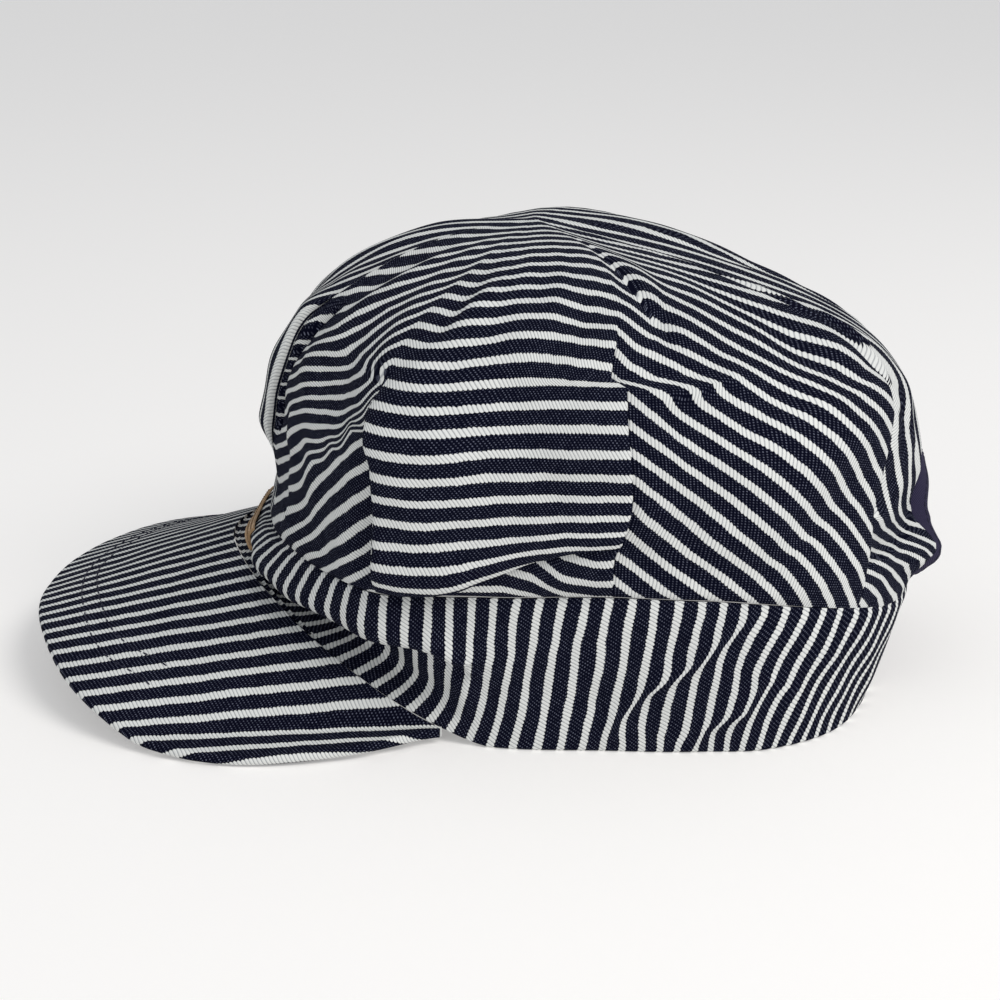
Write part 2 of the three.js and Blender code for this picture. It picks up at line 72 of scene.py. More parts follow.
# Sections round the band: reach from the ring's centre and height of rim, tuck, roll and seam,
# and of the peak's outer edge in line with the section.
BAND = table(
    "angle rim_r rim_z tuck_r tuck_z roll_r roll_z seam_r seam_z peak_r",
    (0, 103, 34, 97.5, 35.5, 96.5, 38.5, 92, 42, 162.5),
    (15, 100, 33, 95.5, 34.8, 97.5, 39.5, 92, 44, 159.5),
    (30, 97, 28.5, 89.5, 30, 99, 38, 94, 46, 153.6),
    (45, 94.5, 20.5, 86, 26, 98.5, 36, 96, 45, 135.5),
    (57, 90.5, 11, 84, 19, 96.5, 33.5, 96.8, 44, 109.4),
    (66, 86.2, 3.8, 84, 14, 91.5, 30, 91, 44, 88),
    (75, 84.8, 0, 84.3, 14, 87.5, 30, 87.2, 44.3, 85),
    (95, 83.4, 0, 84, 15, 85.4, 30, 85.3, 45, 84),
    (113, 90, 0, 90.6, 15, 91.8, 30, 91.5, 44, 90),
    (123, 96.6, 0, 97.6, 15, 98.8, 29, 97.6, 42.3, 96),
    (136, 99.6, 0, 101.2, 14, 103, 26, 103, 38, 100),
    (149, 96.5, 0, 99.8, 12, 103, 23, 104.8, 33, 100),
    (165, 91.5, 0, 95, 11, 98.5, 21, 102.5, 31, 95),
    (180, 89.5, 0, 93, 10, 97, 20, 101.5, 30.5, 92),
)

# Sections up the crown above that seam. lean turns a section as it climbs.
CROWN = table(
    "angle lean neck_r neck_z low_r low_z belly_r belly_z shoulder_r shoulder_z top_r top_z",
    (0, 0, 89, 58, 91.5, 74, 86, 95, 69, 116, 42, 128.5),
    (24, -4, 88, 58, 87, 74, 83, 94, 70, 112, 42, 126.5),
    (41, -1, 92.5, 57, 90, 73, 84.5, 92, 71, 110, 42, 126),
    (59, 0, 98.5, 57, 98.5, 72, 96, 90, 81, 111, 45, 126.5),
    (79, 0, 88.3, 57, 89.3, 73, 88, 91, 74, 114, 43, 127.5),
    (100, 0, 87.6, 57, 89.4, 73, 86.5, 91, 72, 113.5, 41, 126.5),
    (124, 3, 98.3, 55, 97, 70, 92.5, 88, 79, 106, 46, 121),
    (143, 15, 99.5, 51, 97.5, 70, 94.5, 87, 82, 103, 48, 117),
    (163, 6, 103, 46, 101.5, 64, 96, 86, 82, 101.5, 49, 114.5),
    (180, 0, 105.5, 46, 104, 63, 97, 86, 80, 102, 49, 114.5),
)

# The flat cut of the crown, at the pleats on the wearer's left: x to the side, y forwards, how far
# the cloth hangs there from that outline to the band, and the way out of the panel after it.
CUT = table(
    "angle x y drop out_x out_y",
    (0, 0, 92, 66, 0, 1),
    (24, 40.1, 95, 66, 0.73, 0.68),
    (59, 102, 40, 45, 1, 0),
    (100, 75, -30, 72, 0.834, -0.55),
    (140, 32, -88, 66, 0, -1),
    (180, 0, -92, 66, 0, -1),
)

# Pleat edges: the panel on side -1 or 1 of the angle stands proud, up to the apex. On the
# wearer's left the edge wanders from that angle with height.
PLEATS = [
    {"angle": 24, "proud": 3.2, "side": -1, "foot": 62, "apex": 114, "path": table(
        "z off", (55, -13), (66, -13), (74, -11.5), (82, -10.5), (90, -9.5), (100, -8), (110, -6),
        (120, -3))},
    {"angle": 59, "proud": 3.2, "side": 1, "apex": 93, "path": table(
        "z off", (47, -1.4), (58, -0.2), (72, -0.2), (80, -0.7), (86, -2.4), (92, -3.8), (104, -2),
        (115, 0))},
    {"angle": 100, "proud": 2.8, "side": -1, "apex": 118, "path": table(
        "z off", (47, -2.9), (57, -2.9), (62, -2), (66, -1.2), (72, -0.3), (80, -0.4), (90, -0.9),
        (100.6, -0.8), (102.6, -3.4), (106, -3), (112, -1.6), (118, -0.2))},
    {"angle": 140, "proud": 2.2, "side": -1, "apex": 97, "path": table(
        "z off", (46, -1.3), (66, -1), (72, -0.2), (78, 1.6), (84, 3.8), (92, 5.2), (104, 3), (116, 0))},
]

# The long drag fold over the seam on the wearer's left: height of its edge, how far it stands out,
# and the cloth gathered above its edge and hidden under it.
DRAG = table(
    "angle edge_z stand gather hidden",
    (0, 58, 0, 0, 0),
    (30, 56, 0, 0, 0),
    (54, 45.9, 0, 0, 0),
    (58.5, 45.2, 0.25, 1, 14),
    (63, 45.9, 0.6, 2, 18),
    (67.5, 48, 0.85, 3.2, 18),
    (72, 50.6, 1, 4.7, 18),
    (78, 54.4, 1, 6.5, 16),
    (84, 57.8, 1, 8, 12),
    (90, 60.2, 0.9, 9, 6),
    (97, 62.4, 0.7, 8.8, 4),
    (101, 63, 0.6, 8.8, 4),
    (112, 61, 0, 0, 0),
    (180, 58, 0, 0, 0),
)

# White stripes of the panel in front of the left one, counted from the top: the height of each at
# angles from 14 to 56.
CORNER_STRIPES = table(
    "count z14 z20 z26 z32 z38 z44 z50 z56",
    (0.5, 109, 117, 122, 125.5, 127.5, 129, 130, 130.4),
    (1, 105, 113, 118, 123, 126, 128, 129.5, 130),
    (3, 95.5, 101.1, 102.7, 105.5, 112.7, 122, 127, 129),
    (5, 89, 92.5, 96, 98.7, 101, 105.7, 113.5, 122),
    (7, 81, 84.5, 87.5, 91, 93.9, 96.8, 101.1, 108),
    (9, 70.5, 73.6, 80.3, 83.9, 86.1, 88.8, 93.5, 100.4),
    (11, 61.9, 65.1, 68.8, 75.3, 78.1, 82, 89, 96),
    (13, 50.2, 54.6, 58.7, 62.7, 72.4, 78.6, 86.6, 93.5),
    (15, 38, 41, 45, 50.4, 56.6, 65.7, 73.7, 82),
    (17, 28, 31, 34, 39.5, 45.6, 50, 56.3, 65),
    (19, 18, 20, 23, 29, 35, 40, 44.5, 50.5),
    (21, 8, 10, 12, 18, 24, 29, 33, 37),
)
CORNER_FIRST, CORNER_STEP = 14, 6
CORNER_COUNT = 4              # stripes between the first one counted and the middle of the top

# White stripes of the rear panel, counted from the rear, by height and at angles from 138 to 178.
REAR_STRIPES = table(
    "z a138 a143 a148 a153 a158 a163 a168 a173 a178",
    (28, 13.2, 11.9, 10.5, 9.3, 7.9, 6.6, 5.5, 4.5, 3.5),
    (33, 12.4, 10.9, 9.6, 8.5, 7, 5.7, 4.7, 3.8, 3),
    (37, 11.6, 10.2, 8.8, 7.8, 6.1, 4.9, 3.9, 3.1, 2.4),
    (41, 10.7, 9.4, 8, 7, 5.3, 4.1, 3.2, 2.4, 1.8),
    (45, 9.5, 8.2, 6.7, 5.5, 4.3, 3.3, 2.5, 1.8, 1.2),
    (49, 8, 6.5, 5.3, 4.1, 3.1, 2.4, 1.9, 1.3, 0.8),
    (53, 6.6, 5.3, 4.2, 3.3, 2.4, 1.7, 1.3, 0.8, 0.3),
    (58, 5.7, 4.6, 3.6, 2.9, 2, 1.1, 1, 0.4, -0.2),
    (65, 4.9, 4, 3.2, 2.5, 1.7, 1.1, 0.9, 0.1, -0.6),
    (75, 4.2, 3.2, 2.7, 2.4, 2, 1.6, 1.2, 0.2, -0.6),
    (90, 4.1, 3.5, 3.2, 3.2, 3.1, 2.8, 2.2, 1, -0.2),
)
REAR_FIRST, REAR_STEP = 138, 5

# Creases: path of angle and height, rise, half widths left and right of the path, cloth slipped.
CROWN_CREASES = [
    ([(22, 109), (19.5, 103), (17.3, 95), (15.5, 84), (14.5, 73)], -6.5, 2.4, 1.4, 0),
    ([(28, 122), (22, 106)], -1.6, 8, 9, 0),
    ([(30, 96), (36, 117)], 1.8, 7, 6, 0),
    ([(40, 79), (49, 92), (57, 104), (62.5, 113)], -1.6, 6, 5, 0),
    ([(54.5, 89), (60, 102), (65, 111), (67.5, 119)], 0.9, 4, 6, 0),
    ([(27, 54), (25.5, 66), (25, 77)], 1.5, 1.3, 6, 0),
    ([(56, 47), (56.6, 66), (55.6, 86)], -4.2, 6, 0.9, 0),
    ([(103.5, 127), (106, 121), (109, 115)], -2.4, 3, 5, 4),
    ([(105, 98), (111, 98.5), (118, 101.5)], 1.2, 3, 2, 2.2),
    ([(132, 105), (136, 90)], -1.6, 8, 7, 0),
    ([(118, 92), (126, 66)], 1.2, 9, 9, 0),
    ([(131, 66), (120, 51)], -1.1, 8, 6, 0.8),
    ([(108, 80), (114, 56)], -0.8, 9, 9, 0),
    ([(86, 104), (92, 84)], 0.8, 9, 9, 0),
    ([(70, 118), (84, 120)], 0.9, 7, 6, 0),
    ([(158, 39.5), (168, 40)], 6, 6, 4.5, 0),
    ([(154, 53), (165, 51.5)], -2.4, 6, 6, 0),
    ([(-20, 100), (-34, 84), (-48, 80)], -2.6, 6, 6, 2),
    ([(-66, 60), (-84, 70), (-96, 88)], 2.2, 4, 7, 2.5),
    ([(-112, 100), (-128, 84)], -2, 7, 6, 0),
    ([(-120, 62), (-140, 54)], 1.8, 5, 7, 1.5),
]
BAND_CREASES = [
    ([(24, 38), (45, 34), (57, 31.5), (66, 30.5), (71, 27)], 1.6, 5, 1.5, 0),
    ([(26, 33), (45, 29), (57, 26.5), (66, 25.5), (70, 23)], -2.8, 2, 4, 0),
    ([(121, 41), (116, 33.5), (111.5, 26.5), (103.5, 18.5), (98.7, 9.8), (97.2, 4)], 1.7, 1.8, 4, 3.6),
    ([(122.3, 21.5), (119.5, 12), (113.7, 7), (112, 1)], 1.5, 1.8, 4, 3),
    ([(67, 33), (71, 24), (70, 12)], 1.6, 3, 4, 0),
    ([(130, 30), (126, 10)], 0.8, 5, 5, 0),
    ([(-88, 6), (-104, 30)], 1.5, 4, 2, 3),
    ([(-126, 8), (-120, 34)], 1.2, 4, 3, 2),
    ([(-64, 30), (-74, 12)], 1.2, 4, 4, 0),
]
# Slow waves of the cloth: turns round the cap and with height, in radians a millimetre, and size.
WAVES = table(
    "round up phase size",
    (0.42, 0.21, 0.3, 0.16),
    (-0.23, 0.37, 2.1, 0.22),
    (0.11, 0.13, 4.0, 0.35),
    (0.19, -0.16, 1.2, 0.3),
    (0.05, 0.31, 5.1, 0.18),
)


# Curves and surfaces

def smooth(x, low, high):
    t = np.clip((np.asarray(x, float) - low) / (high - low), 0, 1)
    return t * t * (3 - 2 * t)


def column(rows, name, angle):
    """A smooth curve through one column of a table, mirrored beyond 0 to 180 degrees."""
    knots = rows["angle"]
    values = rows[name]
    at = np.abs((np.asarray(angle, float) + 180) % 360 - 180)
    i = np.clip(np.searchsorted(knots, at, side="left") - 1, 0, len(knots) - 2)
    slope = np.zeros(len(knots))
    slope[1:-1] = (values[2:] - values[:-2]) / (knots[2:] - knots[:-2])
    span = knots[i + 1] - knots[i]
    t = (at - knots[i]) / span
    t2 = t * t
    t3 = t2 * t
    return ((2 * t3 - 3 * t2 + 1) * values[i] + (t3 - 2 * t2 + t) * span * slope[i]
            + (3 * t2 - 2 * t3) * values[i + 1] + (t3 - t2) * span * slope[i + 1])


def along(knots, t):
    """Places on smooth curves, each through its own column of knots (knots, places, 3)."""
    ends = np.concatenate([[2 * knots[0] - knots[1]], knots, [2 * knots[-1] - knots[-2]]])
    i = np.clip(np.floor(t).astype(int), 0, len(knots) - 2)
    j = np.arange(len(t))
    f = (t - i)[:, None]
    p0, p1, p2, p3 = ends[i, j], ends[i + 1, j], ends[i + 2, j], ends[i + 3, j]
    bend = (2 * p0 - 5 * p1 + 4 * p2 - p3) + f * (3 * (p1 - p2) + p3 - p0)
    return p1 + 0.5 * f * ((p2 - p0) + f * bend)


def polar(angle, reach, z):
    a = np.radians(angle)
    return np.stack(np.broadcast_arrays(reach * np.sin(a), -reach * np.cos(a), z), -1).astype(float)


def pair_up(angle, t):
    """Both as flat lists of one length, and the shape that they had together."""
    angle, t = np.broadcast_arrays(np.asarray(angle, float), np.asarray(t, float))
    return angle.ravel(), t.ravel(), angle.shape


def band_surface(angle, v):
    """Band: v runs from the rim, 0, to the seam, 1."""
    angle, v, shape = pair_up(angle, v)
    flat = np.abs(angle) > FLAT_FROM
    rim_z = np.where(flat, 0, np.maximum(column(BAND, "rim_z", angle), 0))
    knots = [polar(angle, column(BAND, "rim_r", angle), rim_z)]
    for name in ("tuck", "roll", "seam"):
        knots.append(polar(angle, column(BAND, name + "_r", angle), column(BAND, name + "_z", angle)))
    p = along(np.stack(knots), 3 * v)
    p[:, 2] = np.where(flat, np.maximum(p[:, 2], 0), p[:, 2])
    return p.reshape(shape + (3,))


def crown_surface(angle, t):
    """Crown without its pleats: t runs from the seam, 0, to the middle of the top, 6."""
    angle, t, shape = pair_up(angle, t)
    lean = np.sign(angle) * column(CROWN, "lean", angle)
    knots = [polar(angle, column(BAND, "seam_r", angle), column(BAND, "seam_z", angle))]
    for name, climb in (("neck", 0.4), ("low", 0.65), ("belly", 0.85), ("shoulder", 1), ("top", 1)):
        turned = angle + lean * climb
        knots.append(polar(turned, column(CROWN, name + "_r", angle), column(CROWN, name + "_z", angle)))
    knots.append(np.broadcast_to(np.array(CROWN_TOP, float), knots[0].shape))
    p = along(np.stack(knots), t)
    sunk = smooth(-p[:, 0], 0, 60) * smooth(t, 2, 4.5) * (1 - smooth(t, 5, 6))
    p[:, 2] -= FAR_SIDE_SAG * sunk
    hump = np.exp(-((p[:, 0] - HUMP["x"]) / HUMP["wide"]) ** 2 - ((p[:, 1] - HUMP["y"]) / HUMP["long"]) ** 2)
    p[:, 2] += HUMP["rise"] * hump * smooth(t, 3, 4.5)
    return p.reshape(shape + (3,))


def unit(v):
    return v / np.maximum(np.linalg.norm(v, axis=-1, keepdims=True), 1e-9)


# The lowest and highest place up a surface to read its direction at, and the step to read it with.
BAND_READ = 0.02, 0.98, 0.01
CROWN_READ = 0.03, 5.9, 0.02


def facing_of(surface, angle, t, low, high, step):
    """Outward and sideways directions of a surface."""
    t = np.clip(np.asarray(t, float), low, high)
    across = surface(angle + 0.5, t) - surface(angle - 0.5, t)
    up = surface(angle, t + step) - surface(angle, t - step)
    return unit(np.cross(across, up)), unit(across)


def near_path(path, a, z):
    """Distance from a path, more than 0 on its left, and the share of the path that is passed."""
    points = np.array(path, float) * (CREASE_SCALE, 1)
    spans = np.linalg.norm(np.diff(points, axis=0), axis=1)
    nearest = np.full(np.shape(a), np.inf)
    side = np.ones(np.shape(a))
    share = np.zeros(np.shape(a))
    passed = 0.0
    for start, end, span in zip(points[:-1], points[1:], spans):
        run = (end - start) / span
        step = np.clip((a - start[0]) * run[0] + (z - start[1]) * run[1], 0, span)
        da = a - start[0] - step * run[0]
        dz = z - start[1] - step * run[1]
        away = np.hypot(da, dz)
        closer = away < nearest
        side = np.where(closer, np.sign(run[0] * dz - run[1] * da), side)
        share = np.where(closer, (passed + step) / spans.sum(), share)
        nearest = np.minimum(nearest, away)
        passed += span
    return nearest * side, share


SLIP_WIDTH = 0.8              # a crease swallows its cloth over this width
SLIP_REACH = 14               # and the stripes settle again over this one


def off_rear(angle):
    """0 at the rear, where a shell's first and last columns meet, and 1 a little away from it."""
    return smooth(180 - np.abs(angle), 0.5, 14)


def creased(creases, angle, z):
    """Rise of the cloth and slip of its stripes at places (angle, z)."""
    a = angle * CREASE_SCALE
    rise = np.zeros(np.shape(a))
    slip = np.zeros(np.shape(a))
    for path, height, left, right, taken in creases:
        away, share = near_path(path, a, z)
        rise += ridge(height, np.where(away > 0, left, right), away)
        if taken:
            fades = (1 - (2 * share - 1) ** 4) * np.exp(-(away / SLIP_REACH) ** 2)
            slip += 0.5 * taken * np.sign(away) * (1 - np.exp(-np.abs(away) / SLIP_WIDTH)) * fades
    return rise * off_rear(angle), slip * off_rear(angle)


def waves(angle, z, shift=0.0):
    a = angle * CREASE_SCALE
    total = np.zeros(np.broadcast(a, z).shape)
    for k in range(len(WAVES["size"])):
        turn = WAVES["round"][k] * a + WAVES["up"][k] * z + WAVES["phase"][k] + shift
        total += WAVES["size"][k] * np.sin(turn)
    return total * off_rear(angle)


def ridge(size, width, away):
    """A soft ridge, by the distance away from its line."""
    return size * np.exp(-(away / width) ** 2)


def arc_up(points):
    """Length of cloth from the first row to each point, up its own column."""
    steps = np.linalg.norm(np.diff(points, axis=0), axis=-1)
    return np.concatenate([np.zeros((1,) + steps.shape[1:]), np.cumsum(steps, axis=0)])


# Meshes

def alone(obj):
    bpy.ops.object.select_all(action="DESELECT")
    obj.select_set(True)
    bpy.context.view_layer.objects.active = obj


def edit_all(obj, mode="VERT"):
    alone(obj)
    bpy.ops.object.mode_set(mode="EDIT")
    bpy.ops.mesh.select_mode(type=mode)
    bpy.ops.mesh.select_all(action="SELECT")


def done_editing():
    bpy.ops.object.mode_set(mode="OBJECT")


def cloth_grid(name, points, uv_left, uv_right):
    """A grid whose rows and columns take the given places and cloth coordinates."""
    rows, cols = points.shape[:2]
    bpy.ops.object.select_all(action="DESELECT")
    bpy.ops.mesh.primitive_grid_add(x_subdivisions=cols - 1, y_subdivisions=rows - 1, size=1)
    obj = bpy.context.object
    obj.name = name
    mesh = obj.data
    flat = np.zeros(len(mesh.vertices) * 3)
    mesh.vertices.foreach_get("co", flat)
    flat = np.round(flat.reshape(-1, 3), 6)
    order = np.lexsort((flat[:, 0], flat[:, 1]))
    placed = np.zeros_like(flat)
    placed[order] = (points.reshape(-1, 3) + (0, RING_Y, 0)) * MM
    mesh.vertices.foreach_set("co", placed.ravel())
    place_of = np.empty(len(order), int)
    place_of[order] = np.arange(len(order))
    corner = np.zeros(len(mesh.loops), int)
    mesh.loops.foreach_get("vertex_index", corner)
    row, col = np.divmod(place_of[corner], cols)
    first = np.repeat(col.reshape(-1, 4).min(1), 4)
    uv = np.where((col > first)[:, None], uv_right[row, first], uv_left[row, first]) * MM
    mesh.uv_layers[0].name = "cloth"
    mesh.uv_layers[0].data.foreach_set("uv", uv.astype(np.float32).ravel())
    mesh.update()
    return obj


def close_doubles(obj):
    edit_all(obj)
    bpy.ops.mesh.remove_doubles(threshold=2e-6)
    done_editing()


def close_rims(obj):
    """Bridges the two open edges of a wrapped sheet."""
    edit_all(obj)
    bpy.ops.mesh.select_all(action="DESELECT")
    bpy.ops.mesh.select_non_manifold(extend=False, use_wire=False, use_multi_face=False,
                                     use_non_contiguous=False, use_verts=False)
    bpy.ops.mesh.bridge_edge_loops()
    done_editing()


def close_ends(obj):
    """Merges the long seam of a wrapped strip, caps its two ends and turns its faces out."""
    close_doubles(obj)
    edit_all(obj)
    bpy.ops.mesh.fill_holes(sides=0)
    bpy.ops.mesh.select_all(action="SELECT")
    bpy.ops.mesh.normals_make_consistent(inside=False)
    done_editing()


def wrapped_strip(name, sections):
    """A strip from closed sections (places along it, points round it, 3)."""
    points = np.concatenate([sections, sections[:, :1]], axis=1)
    length = arc_up(points)[:, :1]
    round_it = arc_up(points.swapaxes(0, 1)).swapaxes(0, 1)
    cloth = np.stack(np.broadcast_arrays(length, round_it), -1)
    obj = cloth_grid(name, points, cloth[:, :-1], cloth[:, 1:])
    close_ends(obj)
    return obj


SHARP = math.radians(50)      # faces that meet at more than this keep a sharp edge


def dress(obj, material, slot, *nodes):
    """Smooths a finished piece, gives it its cloth and its body, and hides the imported parts that it stands
    for.
    """
    alone(obj)
    bpy.ops.object.shade_smooth_by_angle(angle=SHARP)
    obj.data.materials.clear()
    obj.data.materials.append(material)
    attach(obj, "root")
    if nodes:
        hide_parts(*nodes)


# Materials

class Board:
    """Writes shader nodes, left to right."""

    def __init__(self, tree):
        self.tree = tree
        self.count = 0

    def node(self, kind, **settings):
        made = self.tree.nodes.new(kind)
        made.location = (180 * (self.count % 12), -220 * (self.count // 12))
        self.count += 1
        for name, value in settings.items():
            setattr(made, name, value)
        return made

    def feed(self, socket, value):
        if isinstance(value, bpy.types.NodeSocket):
            self.tree.links.new(value, socket)
        else:
            socket.default_value = value

    def math(self, operation, *values, clamp=False):
        made = self.node("ShaderNodeMath", operation=operation, use_clamp=clamp)
        for socket, value in zip(made.inputs, values):
            self.feed(socket, value)
        return made.outputs[0]

    def step(self, value, low, high):
        """0 below low, 1 above high, smooth between."""
        made = self.node("ShaderNodeMapRange", interpolation_type="SMOOTHSTEP")
        self.feed(made.inputs["Value"], value)
        self.feed(made.inputs["From Min"], low)
        self.feed(made.inputs["From Max"], high)
        return made.outputs[0]

    def blend(self, share, a, b, kind="MIX"):
        made = self.node("ShaderNodeMix", data_type="RGBA", blend_type=kind)
        self.feed(made.inputs[0], share)
        self.feed(made.inputs[6], a)
        self.feed(made.inputs[7], b)
        return made.outputs[2]

    def noise(self, vector, scale, detail=2.0, roughness=0.5):
        made = self.node("ShaderNodeTexNoise")
        self.feed(made.inputs["Vector"], vector)
        made.inputs["Scale"].default_value = scale
        made.inputs["Detail"].default_value = detail
        made.inputs["Roughness"].default_value = roughness
        return made.outputs["Fac"]


def group(name, inputs, outputs):
    """A shader node group with its sockets; returns it with its board, inputs and output node."""
    tree = bpy.data.node_groups.new(name, "ShaderNodeTree")
    for label, kind, value in inputs:
        socket = tree.interface.new_socket(label, in_out="INPUT", socket_type=kind)
        if value is not None:
            socket.default_value = value
    for label, kind in outputs:
        tree.interface.new_socket(label, in_out="OUTPUT", socket_type=kind)
    board = Board(tree)
    source = board.node("NodeGroupInput")
    sink = board.node("NodeGroupOutput")
    return tree, board, source.outputs, sink.inputs


STRIPE_PITCH = 6.05           # one navy and one white stripe
WHITE_WIDTH = 2.2
PICK = 1.05                   # length of one thread along a stripe
ROW = 0.58                    # spacing of the navy cloth's specks across the stripes
ROW_OFFSET = 0.36             # how far each row of specks is set off from the last, in picks
SPECK_WIDE, SPECK_LONG = 0.32, 0.2    # half a speck, in rows and in picks
THREAD_SLANT = 0.55           # of the white stripes' threads
THREAD_BULGE = 0.34           # how far a thread stands out at the stripe's edge
THREAD_INSET = 0.26           # and the gaps between threads stand in
SWAY = 0.7                    # how much a stripe's place varies, in millimetres
SOIL = 0.16                   # how much of the white is dulled where it is soiled
OFF_WHITE = (0.76, 0.77, 0.75, 1)
# Darker white: painted shade in the gaps between the white threads, and the colour of soiled white.
SHADE_AND_SOIL_WHITE = (0.42, 0.43, 0.44, 1)
NAVY = (0.0025, 0.003, 0.0105, 1)
SPECK = (0.12, 0.13, 0.18, 1)


def striped_twill():
    """Off-white ropes of slanted threads on speckled navy: stripes at equal U, running along V."""
    tree, b, given, out = group(
        "striped_twill",
        [("Cloth", "NodeSocketVector", None)],
        [("Color", "NodeSocketColor"), ("Height", "NodeSocketFloat")],
    )
    split = b.node("ShaderNodeSeparateXYZ")
    b.feed(split.inputs[0], given["Cloth"])
    slub = b.noise(given["Cloth"], 260, 2)
    fine = b.noise(given["Cloth"], 1500, 1)
    across = b.math("MULTIPLY", split.outputs[0], 1 / MM)
    sway = b.math("MULTIPLY_ADD", slub, SWAY, -SWAY / 2)
    across = b.math("ADD", across, sway)
    length = b.math("MULTIPLY", split.outputs[1], 1 / MM)

    turn = b.math("FRACT", b.math("DIVIDE", across, STRIPE_PITCH))
    local = b.math("MULTIPLY_ADD", turn, STRIPE_PITCH, -STRIPE_PITCH / 2)
    slanted = b.math("MULTIPLY_ADD", local, THREAD_SLANT, length)
    pick = b.math("FRACT", b.math("DIVIDE", slanted, PICK))
    bulge = b.math("SINE", b.math("MULTIPLY", pick, math.pi))
    reach = b.math("MULTIPLY_ADD", bulge, THREAD_BULGE, WHITE_WIDTH / 2 - THREAD_INSET)
    ragged = b.math("MULTIPLY_ADD", fine, 0.3, -0.15)
    inside = b.math("SUBTRACT", b.math("ADD", reach, ragged), b.math("ABSOLUTE", local))
    white = b.step(inside, -0.07, 0.09)

    row = b.math("DIVIDE", across, ROW)
    row_number = b.math("FLOOR", row)
    row_place = b.math("SUBTRACT", b.math("FRACT", row), 0.5)
    place = b.math("MULTIPLY_ADD", row_number, ROW_OFFSET, b.math("DIVIDE", length, PICK))
    thread_number = b.math("FLOOR", place)
    thread_place = b.math("SUBTRACT", b.math("FRACT", place), 0.5)
    dice = b.node("ShaderNodeTexWhiteNoise", noise_dimensions="2D")
    pair = b.node("ShaderNodeCombineXYZ")
    b.feed(pair.inputs[0], row_number)
    b.feed(pair.inputs[1], thread_number)
    b.feed(dice.inputs["Vector"], pair.outputs[0])
    across2 = b.math("POWER", b.math("DIVIDE", row_place, SPECK_WIDE), 2.0)
    length2 = b.math("POWER", b.math("DIVIDE", thread_place, SPECK_LONG), 2.0)
    speck = b.math("SUBTRACT", 1.0, b.step(b.math("ADD", across2, length2), 0.5, 1.3))
    strength = b.math("MULTIPLY_ADD", dice.outputs["Value"], 0.75, 0.2)
    speck = b.math("MULTIPLY", speck, strength)

    navy = b.blend(speck, NAVY, SPECK)
    # The white threads are painted lighter at their crowns and darker in the gaps between them: painted
    # shade.
    yarn = b.blend(b.step(bulge, 0.1, 0.75), SHADE_AND_SOIL_WHITE, OFF_WHITE)
    soil = b.noise(given["Cloth"], 28, 3)
    yarn = b.blend(b.math("MULTIPLY", b.step(soil, 0.45, 0.75), SOIL), yarn, SHADE_AND_SOIL_WHITE)
    b.feed(out["Color"], b.blend(white, navy, yarn))
    rope = b.math("MULTIPLY", white, b.math("MULTIPLY_ADD", bulge, 0.5, 0.5))
    b.feed(out["Height"], b.math("MAXIMUM", rope, b.math("MULTIPLY", speck, 0.5)))
    return tree


def plain_twill():
    """Fine slanted ribs."""
    tree, b, given, out = group(
        "plain_twill",
        [("Cloth", "NodeSocketVector", None), ("Rib", "NodeSocketFloat", 0.7)],
        [("Rib Mask", "NodeSocketFloat"), ("Height", "NodeSocketFloat")],
    )
    split = b.node("ShaderNodeSeparateXYZ")
    b.feed(split.inputs[0], given["Cloth"])
    slub = b.noise(given["Cloth"], 300, 2)
    slant = b.math("ADD", split.outputs[0], b.math("MULTIPLY", split.outputs[1], 0.8))
    turns = b.math("DIVIDE", b.math("MULTIPLY", slant, 1 / MM), given["Rib"])
    turns = b.math("MULTIPLY_ADD", slub, 0.8, turns)
    wave = b.math("SINE", b.math("MULTIPLY", turns, 2 * math.pi))
    rib = b.math("MULTIPLY_ADD", wave, 0.5, 0.5)
    b.feed(out["Rib Mask"], rib)
    b.feed(out["Height"], b.math("MULTIPLY", rib, b.math("MULTIPLY_ADD", slub, 0.6, 0.5)))
    return tree


def shader(name, roughness, sheen=0.0, specular=0.3):
    material = bpy.data.materials.new(name)
    material.use_nodes = True
    board = Board(material.node_tree)
    surface = material.node_tree.nodes["Principled BSDF"]
    surface.inputs["Roughness"].default_value = roughness
    surface.inputs["Sheen Weight"].default_value = sheen
    surface.inputs["Sheen Roughness"].default_value = 0.5
    surface.inputs["Specular IOR Level"].default_value = specular
    return material, board, surface


def place_group(board, tree, **values):
    made = board.node("ShaderNodeGroup", node_tree=tree)
    for name, value in values.items():
        board.feed(made.inputs[name], value)
    return made


def raise_relief(board, surface, height, distance, strength):
    bump = board.node("ShaderNodeBump")
    bump.inputs["Strength"].default_value = strength
    bump.inputs["Distance"].default_value = distance * MM
    board.feed(bump.inputs["Height"], height)
    board.feed(surface.inputs["Normal"], bump.outputs[0])


def striped_cloth():
    material, b, surface = shader("striped_cloth", 0.95, specular=0.03)
    cloth = b.node("ShaderNodeUVMap", uv_map="cloth")
    weave = place_group(b, striped_twill(), Cloth=cloth.outputs[0])
    b.feed(surface.inputs["Base Color"], weave.outputs["Color"])
    raise_relief(b, surface, weave.outputs["Height"], 0.3, 0.7)
    return material


def navy_cloth():
    material, b, surface = shader("navy_cloth", 0.88, sheen=0.05, specular=0.15)
    cloth = b.node("ShaderNodeUVMap", uv_map="cloth")
    weave = place_group(b, plain_twill(), Cloth=cloth.outputs[0])
    # The twill's grooves are painted darker than its ribs: painted shade between the ribs.
    shade = b.blend(weave.outputs["Rib Mask"], (0.012, 0.010, 0.030, 1), (0.035, 0.030, 0.070, 1))
    b.feed(surface.inputs["Base Color"], shade)
    raise_relief(b, surface, weave.outputs["Height"], 0.15, 0.6)
    return material


